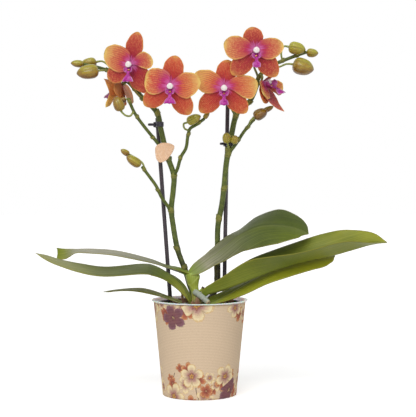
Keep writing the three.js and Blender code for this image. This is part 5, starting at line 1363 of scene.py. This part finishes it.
def makeFlowers():
    p = flowerForm
    sepalSkin, petalSkin = tepalTissue(tepalInk["sepal"]), tepalTissue(tepalInk["petal"])
    columnSkin, lipSkin = columnTissue(), lipTissue()
    for name, flower in flowers.items():
        place = flowerPlace(flower)
        number = name[-1]
        shape = newShape()
        for sepal in flower["sepals"]:
            addTepal(shape, sepal, p["sepal"], 0, flower, place)
        buildPiece("flower" + number + ".sepals", shape, sepalSkin, [name + "_sepals"])
        shape = newShape()
        heart = place([[0, 0, -p["behind"]]])[0]
        back = place([[0, 0, -5]])[0]
        line = evenLine(flower["stalk"] + [back.tolist(), heart.tolist()], p["stalkStep"])
        run = np.arange(len(line)) * p["stalkStep"]
        left = run[-1] - run
        radii = p["stalkRadius"] + 1.35 * np.exp(-(left / 2.2) ** 2) + 0.3 * np.exp(-(left / 9) ** 2)
        radii = radii + 0.5 * np.exp(-(run / 1.6) ** 2)
        # painted light: a stalk that lies in shade can be painted paler all along; the paler run near the flower is
        # its own colour
        pale = flower.get("stalkPaintedLight", 0)
        pale = pale + (0.75 - pale) * np.exp(-(left / 7) ** 2)
        addStem(shape, line, radii, 18, (0.6, 0.35), 6, 0.05, flush=0.05, ring=pale, scale=0.85)
        buildPiece("flower" + number + ".stalk", shape, stemSkinMaterial, [name + "_sepals"])
        shape = newShape()
        for petal in flower["petals"]:
            addTepal(shape, petal, p["petal"], p["petalLayer"], flower, place)
        buildPiece("flower" + number + ".petals", shape, petalSkin, [name + "_petals"])
        shape = newShape()
        addColumn(shape, place)
        buildPiece("flower" + number + ".column", shape, columnSkin, [name + "_petals"])
        shape = newShape()
        addLip(shape, flower, place)
        buildPiece("flower" + number + ".lip", shape, lipSkin, [name + "_lip"])


makeFlowers()
print("flowers made")


# Stakes: round rods with a dark plum plastic coat
stakes = {
    "left": {"foot": [-27.5, 13.5, 22], "top": [-48.6, 14.5, 313], "radius": 2.35},
    "right": {"foot": [26.4, 17.5, 22], "top": [32.2, 20, 336], "radius": 2.35},
}


def coatedStakePlastic():  # extruded dark plum polyethylene, a satin skin with faint lines along the rod
    material, add, shader = newMaterial("coatedStakePlastic", IOR=1.5)
    turn = add("Attribute", output=2, attribute_name="turn")
    place = add("TexCoord", output=3)
    drawn = add("Math", {0: add("Math", {0: turn, 1: 9}, operation="MULTIPLY")}, operation="SINE")
    scuff = add("TexNoise", {"Vector": place, "Scale": perMm(4), "Detail": 5})
    colour = add("ValToRGB", {0: scuff}, stops=[(0.35, "#2b2229"), (0.6, "#3a2e36"), (0.8, "#4d4146")])
    rough = add("MapRange", {0: scuff, 1: 0.3, 2: 0.7, 3: 0.28, 4: 0.45})
    return finishMaterial(material, shader, colour, rough, drawn, 0.03)


def makeStakes():
    coat = coatedStakePlastic()
    for name, stake in stakes.items():
        foot, top = np.array(stake["foot"], float), np.array(stake["top"], float)
        run = np.linspace(0, 1, 60)
        line = foot + (top - foot) * run[:, None]
        radii = stake["radius"] * (1 - 0.5 * (1 - ease(run, 0, 0.03)) - 0.12 * ease(run, 0.992, 1))
        shape = newShape()
        addStem(shape, line, radii, 28, (0.4, 0.3), 9, 0.006)
        buildPiece("stake_" + name, shape, coat, ["stake_" + name])


makeStakes()


# Clips: small dark claw clips, a band round the spike and its stake with a ribbed finger grip
clips = {
    "left": {"height": 305.2, "tall": 5.5, "wall": 1.4, "grip": 8, "turn": 188},
    "right": {"height": 283.6, "tall": 5, "wall": 1.4, "grip": 6.5, "turn": 215},
}
clipForm = {
    "bore": 2.95, "gripTall": 2.8, "pinRadius": 1.25,
    # two finger plates: distance from the middle, half-thickness, how far they part in degrees, ribs on each
    "plateGap": 0.95, "plateThick": 0.62, "plateSpread": 7, "ribs": 4,
}


def clipPolypropylene():  # smoky violet-black moulded plastic, mottled lighter at random
    material, add, shader = newMaterial("clipPolypropylene", IOR=1.49)
    place = add("TexCoord", output=3)
    worn = add("TexNoise", {"Vector": place, "Scale": perMm(2), "Detail": 4})
    colour = add("ValToRGB", {0: worn}, stops=[(0.35, "#26222e"), (0.6, "#36323f"), (0.8, "#55505f")])
    rough = add("MapRange", {0: worn, 1: 0.3, 2: 0.7, 3: 0.25, 4: 0.4})
    return finishMaterial(material, shader, colour, rough, worn, 0.03)


def makeClips():
    p = clipForm
    plastic = clipPolypropylene()
    for name, clip in clips.items():
        stake = stakes[name]
        foot, top = np.array(stake["foot"], float), np.array(stake["top"], float)
        atStake = foot + (top - foot) * (clip["height"] - foot[2]) / (top[2] - foot[2])
        line = spikeLines[name]
        atSpike = line[lineAtHeight(line, clip["height"])]
        across = unit((atSpike - atStake) * np.array([1, 1, 0]))
        heading = math.atan2(across[1], across[0])
        inner = p["bore"] + clip["wall"] / 2
        path = []
        for centre, start in ((atStake, heading + math.pi / 2), (atSpike, heading - math.pi / 2)):
            for angle in np.linspace(start, start + math.pi, 25):
                path.append([centre[0] + inner * math.cos(angle), centre[1] + inner * math.sin(angle)])
        path = np.array(path)
        outwards = np.gradient(np.vstack([path[-1], path, path[0]]), axis=0)[1:-1]
        outwards = unit(np.stack([outwards[:, 1], -outwards[:, 0]], -1))
        section = []
        for angle in np.linspace(0, 2 * math.pi, 20, endpoint=False):
            bend = lambda value: math.copysign(abs(value) ** 0.45, value)
            section.append([clip["wall"] / 2 * bend(math.cos(angle)), clip["tall"] / 2 * bend(math.sin(angle))])
        section = np.array(section)
        points = np.zeros((len(path), 20, 3))
        points[..., :2] = path[:, None] + outwards[:, None] * section[None, :, :1]
        points[..., 2] = clip["height"] + section[None, :, 1]
        shape = newShape()
        addGrid(shape, points, around=True, looped=True)
        angle = math.radians(clip["turn"])
        direction = np.array([math.cos(angle), math.sin(angle), 0])
        side = np.array([-direction[1], direction[0], 0])
        turn = turnMatrix((0, 0, 1), clip["turn"])
        middle = (atStake + atSpike) / 2
        middle[2] = clip["height"]
        reach = p["bore"] + clip["wall"]
        for hand in (-1, 1):
            centre = middle + direction * (reach + clip["grip"] / 2 - 1.2) + side * hand * p["plateGap"]
            spread = turnMatrix((0, 0, 1), clip["turn"] + hand * p["plateSpread"])
            addLump(shape, centre, (clip["grip"] / 2 + 1.2, p["plateThick"], p["gripTall"] / 2), spread, 0.4, 12, 20)
            for k in range(p["ribs"]):
                spot = middle + direction * (reach + clip["grip"] * (0.3 + 0.19 * k))
                spot = spot + side * hand * (1.25 + 0.12 * k)
                addLump(shape, spot, (0.3, 0.5, p["gripTall"] / 2 * 0.95), turn, 0.6, 8, 8)
        pivot = middle + direction * (reach + 0.6)
        pin = np.array([pivot + [0, 0, z] for z in np.linspace(-clip["tall"] / 2, clip["tall"] / 2, 8)])
        addStem(shape, pin, p["pinRadius"], 16, (0.2, 0.2))
        buildPiece("clip_" + name, shape, plastic, ["clip_" + name])


makeClips()
print("stakes and clips made")


# Tag: a rounded plain card, hung in front of the left spike on a plastic hook
tag = {
    "front": 0.9, "thickness": 1, "bow": 0.5,
    "outline": [[-50.2, 273], [-49.6, 279.5], [-44, 283.4], [-34.5, 283.6], [-28.6, 280.4], [-29.5, 275.5],
                [-33.5, 268.8], [-39, 263.4], [-45.2, 261.8], [-48.8, 265.8], [-50.2, 273]],
    "hook": {"height": 267, "tall": 4, "wall": 1.1, "inner": 3.5, "arc": (-62, 242), "strands": 4},
}


def speckledCard():  # peach recycled card, dull, with brown and pale fibre specks
    material, add, shader = newMaterial("speckledCard", IOR=1.5, Roughness=0.8)
    place = add("TexCoord", output=3)
    cloud = add("TexNoise", {"Vector": place, "Scale": perMm(3), "Detail": 4})
    colour = add("ValToRGB", {0: cloud}, stops=[(0.3, "#ecbf98"), (0.55, "#f2c9a6"), (0.8, "#f6d6ba")])
    specks = add("TexVoronoi", {"Vector": place, "Scale": perMm(1.4), "Randomness": 1})
    dots = add("MapRange", {0: specks, 1: 0.12, 2: 0.2, 3: 0.6, 4: 0})
    return finishMaterial(material, shader, colour, None, cloud, 0.05, [(dots, "#b98a5c")])


def greenTiePlastic():  # soft green polyethylene tie, satin, close to the stem's own colour
    material, add, shader = newMaterial("greenTiePlastic", IOR=1.5)
    place = add("TexCoord", output=3)
    cloud = add("TexNoise", {"Vector": place, "Scale": perMm(3), "Detail": 3})
    colour = add("ValToRGB", {0: cloud}, stops=[(0.3, "#55632f"), (0.7, "#6c7a3d")])
    rough = add("MapRange", {0: cloud, 1: 0.3, 2: 0.7, 3: 0.35, 4: 0.5})
    return finishMaterial(material, shader, colour, rough, cloud, 0.03)


def makeTag():
    p = tag
    ring = smoothCurve(p["outline"], np.linspace(0, 1, 121))[:-1]
    centre = ring.mean(axis=0)
    shares = np.array([0, 0.2, 0.4, 0.6, 0.8, 0.93, 0.98, 1.0, 1.0, 0.98, 0.93, 0.8, 0.6, 0.4, 0.2, 0])
    edge = np.array([0, 0, 0, 0, 0, 0, 0.1, 0.35, 0.65, 0.9, 1, 1, 1, 1, 1, 1])
    rows = centre + (ring - centre)[None] * shares[:, None, None]
    bow = p["bow"] * ((rows[..., 0] - centre[0]) / 11) ** 2
    y = p["front"] - p["thickness"] + edge[:, None] * p["thickness"] - bow * 0.4 + 0.1
    shape = newShape()
    addGrid(shape, np.stack([rows[..., 0], y, rows[..., 1]], -1), around=True)
    buildPiece("tagCard", shape, speckledCard(), ["plant_tag"])
    hook = p["hook"]
    line = spikeLines["left"]
    spot = line[lineAtHeight(line, hook["height"])]
    arc = np.radians(np.linspace(*hook["arc"], 44))
    radius = hook["inner"] + hook["wall"] / 2
    path = np.stack([spot[0] + radius * np.cos(arc), spot[1] + radius * np.sin(arc), hook["height"] + 0 * arc], -1)
    ends = [[[path[k, 0] + inset, p["front"] + 0.1, hook["height"]]] for k, inset in ((0, 0.2), (-1, -0.2))]
    path = np.concatenate([ends[0], path, ends[1]])
    shape = newShape()
    for level in np.linspace(-hook["tall"] / 2 + 0.5, hook["tall"] / 2 - 0.5, hook["strands"]):
        addStem(shape, path + [0, 0, level], hook["wall"] / 2, 12, (0.5, 0.5))
    buildPiece("tagHook", shape, greenTiePlastic(), ["plant_tag"])


makeTag()
print("tag made")


# Studio: a plain white table, soft light from the front and above, and the camera at the photograph's angle
studio = {
    "floor": "#f4f4f3", "sky": 0.4,  # how bright the white room is as a light, where it looks as bright as 1
    "key": {"power": 1.5, "angle": 38, "from": (-0.3, -1.0, 0.85)},
    "fill": {"power": 0.45, "angle": 70, "from": (0.55, -1.0, 0.1)},
    "camera": {"at": (0.0095, -1.175, 0.2098), "lens": 89.85, "sensor": 36},
    "tableHalf": 30,  # in metres, so that its edge is never seen
}


def mattWhiteTable():  # sprayed white board, no grain, that lifts the shadows a little
    material, add, shader = newMaterial("mattWhiteTable", **{
        "IOR": 1.45, "Roughness": 0.9, "Specular IOR Level": 0.2})
    shader.inputs["Emission Color"].default_value = hexToLinear("#ffffff")
    seen = add("Math", {0: add("LightPath"), 1: add("LightPath", output=3)}, operation="MAXIMUM")
    lifted = add("MapRange", {0: seen, 3: 0.0, 4: 0.5})
    material.node_tree.links.new(lifted, shader.inputs["Emission Strength"])
    cloud = add("TexNoise", {"Vector": add("TexCoord", output=3), "Scale": perMm(300), "Detail": 2})
    colour = add("ValToRGB", {0: cloud}, stops=[(0.3, studio["floor"]), (0.7, "#efefee")])
    return finishMaterial(material, shader, colour)


def makeStudio():
    p = studio
    mesh = bpy.data.meshes.new("tableTop")
    half = p["tableHalf"]
    mesh.from_pydata([(-half, -half, 0), (half, -half, 0), (half, half, 0), (-half, half, 0)], [], [(0, 1, 2, 3)])
    mesh.materials.append(mattWhiteTable())
    floor = bpy.data.objects.new("tableTop", mesh)
    bpy.context.scene.collection.objects.link(floor)
    for key in ("key", "fill"):
        data = bpy.data.lights.new(key + "Light", "SUN")
        data.energy, data.angle = p[key]["power"], math.radians(p[key]["angle"])
        light = bpy.data.objects.new(key + "Light", data)
        bpy.context.scene.collection.objects.link(light)
        towards = np.array(p[key]["from"], float)
        light.rotation_euler = (math.acos(towards[2] / np.linalg.norm(towards)), 0,
                                math.atan2(towards[1], towards[0]) + math.pi / 2)
    world = bpy.data.worlds.new("whiteRoom")
    bpy.context.scene.world = world
    world.use_nodes = True
    paths = [addNode(world.node_tree, "LightPath", output=k) for k in (0, 3)]
    seen = addNode(world.node_tree, "Math", {0: paths[0], 1: paths[1]}, operation="MAXIMUM")
    strength = addNode(world.node_tree, "MapRange", {0: seen, 3: p["sky"], 4: 1.0})
    background = world.node_tree.nodes["Background"]
    background.inputs["Color"].default_value = (1, 1, 1, 1)
    world.node_tree.links.new(strength, background.inputs["Strength"])
    camera = bpy.data.objects.new("photoCamera", bpy.data.cameras.new("photoCamera"))
    bpy.context.scene.collection.objects.link(camera)
    camera.location = p["camera"]["at"]
    camera.rotation_euler = (math.pi / 2, 0, 0)
    camera.data.lens, camera.data.sensor_width = p["camera"]["lens"], p["camera"]["sensor"]
    bpy.context.scene.camera = camera
    bpy.context.scene.view_settings.view_transform = "Standard"


makeStudio()
print("studio made")
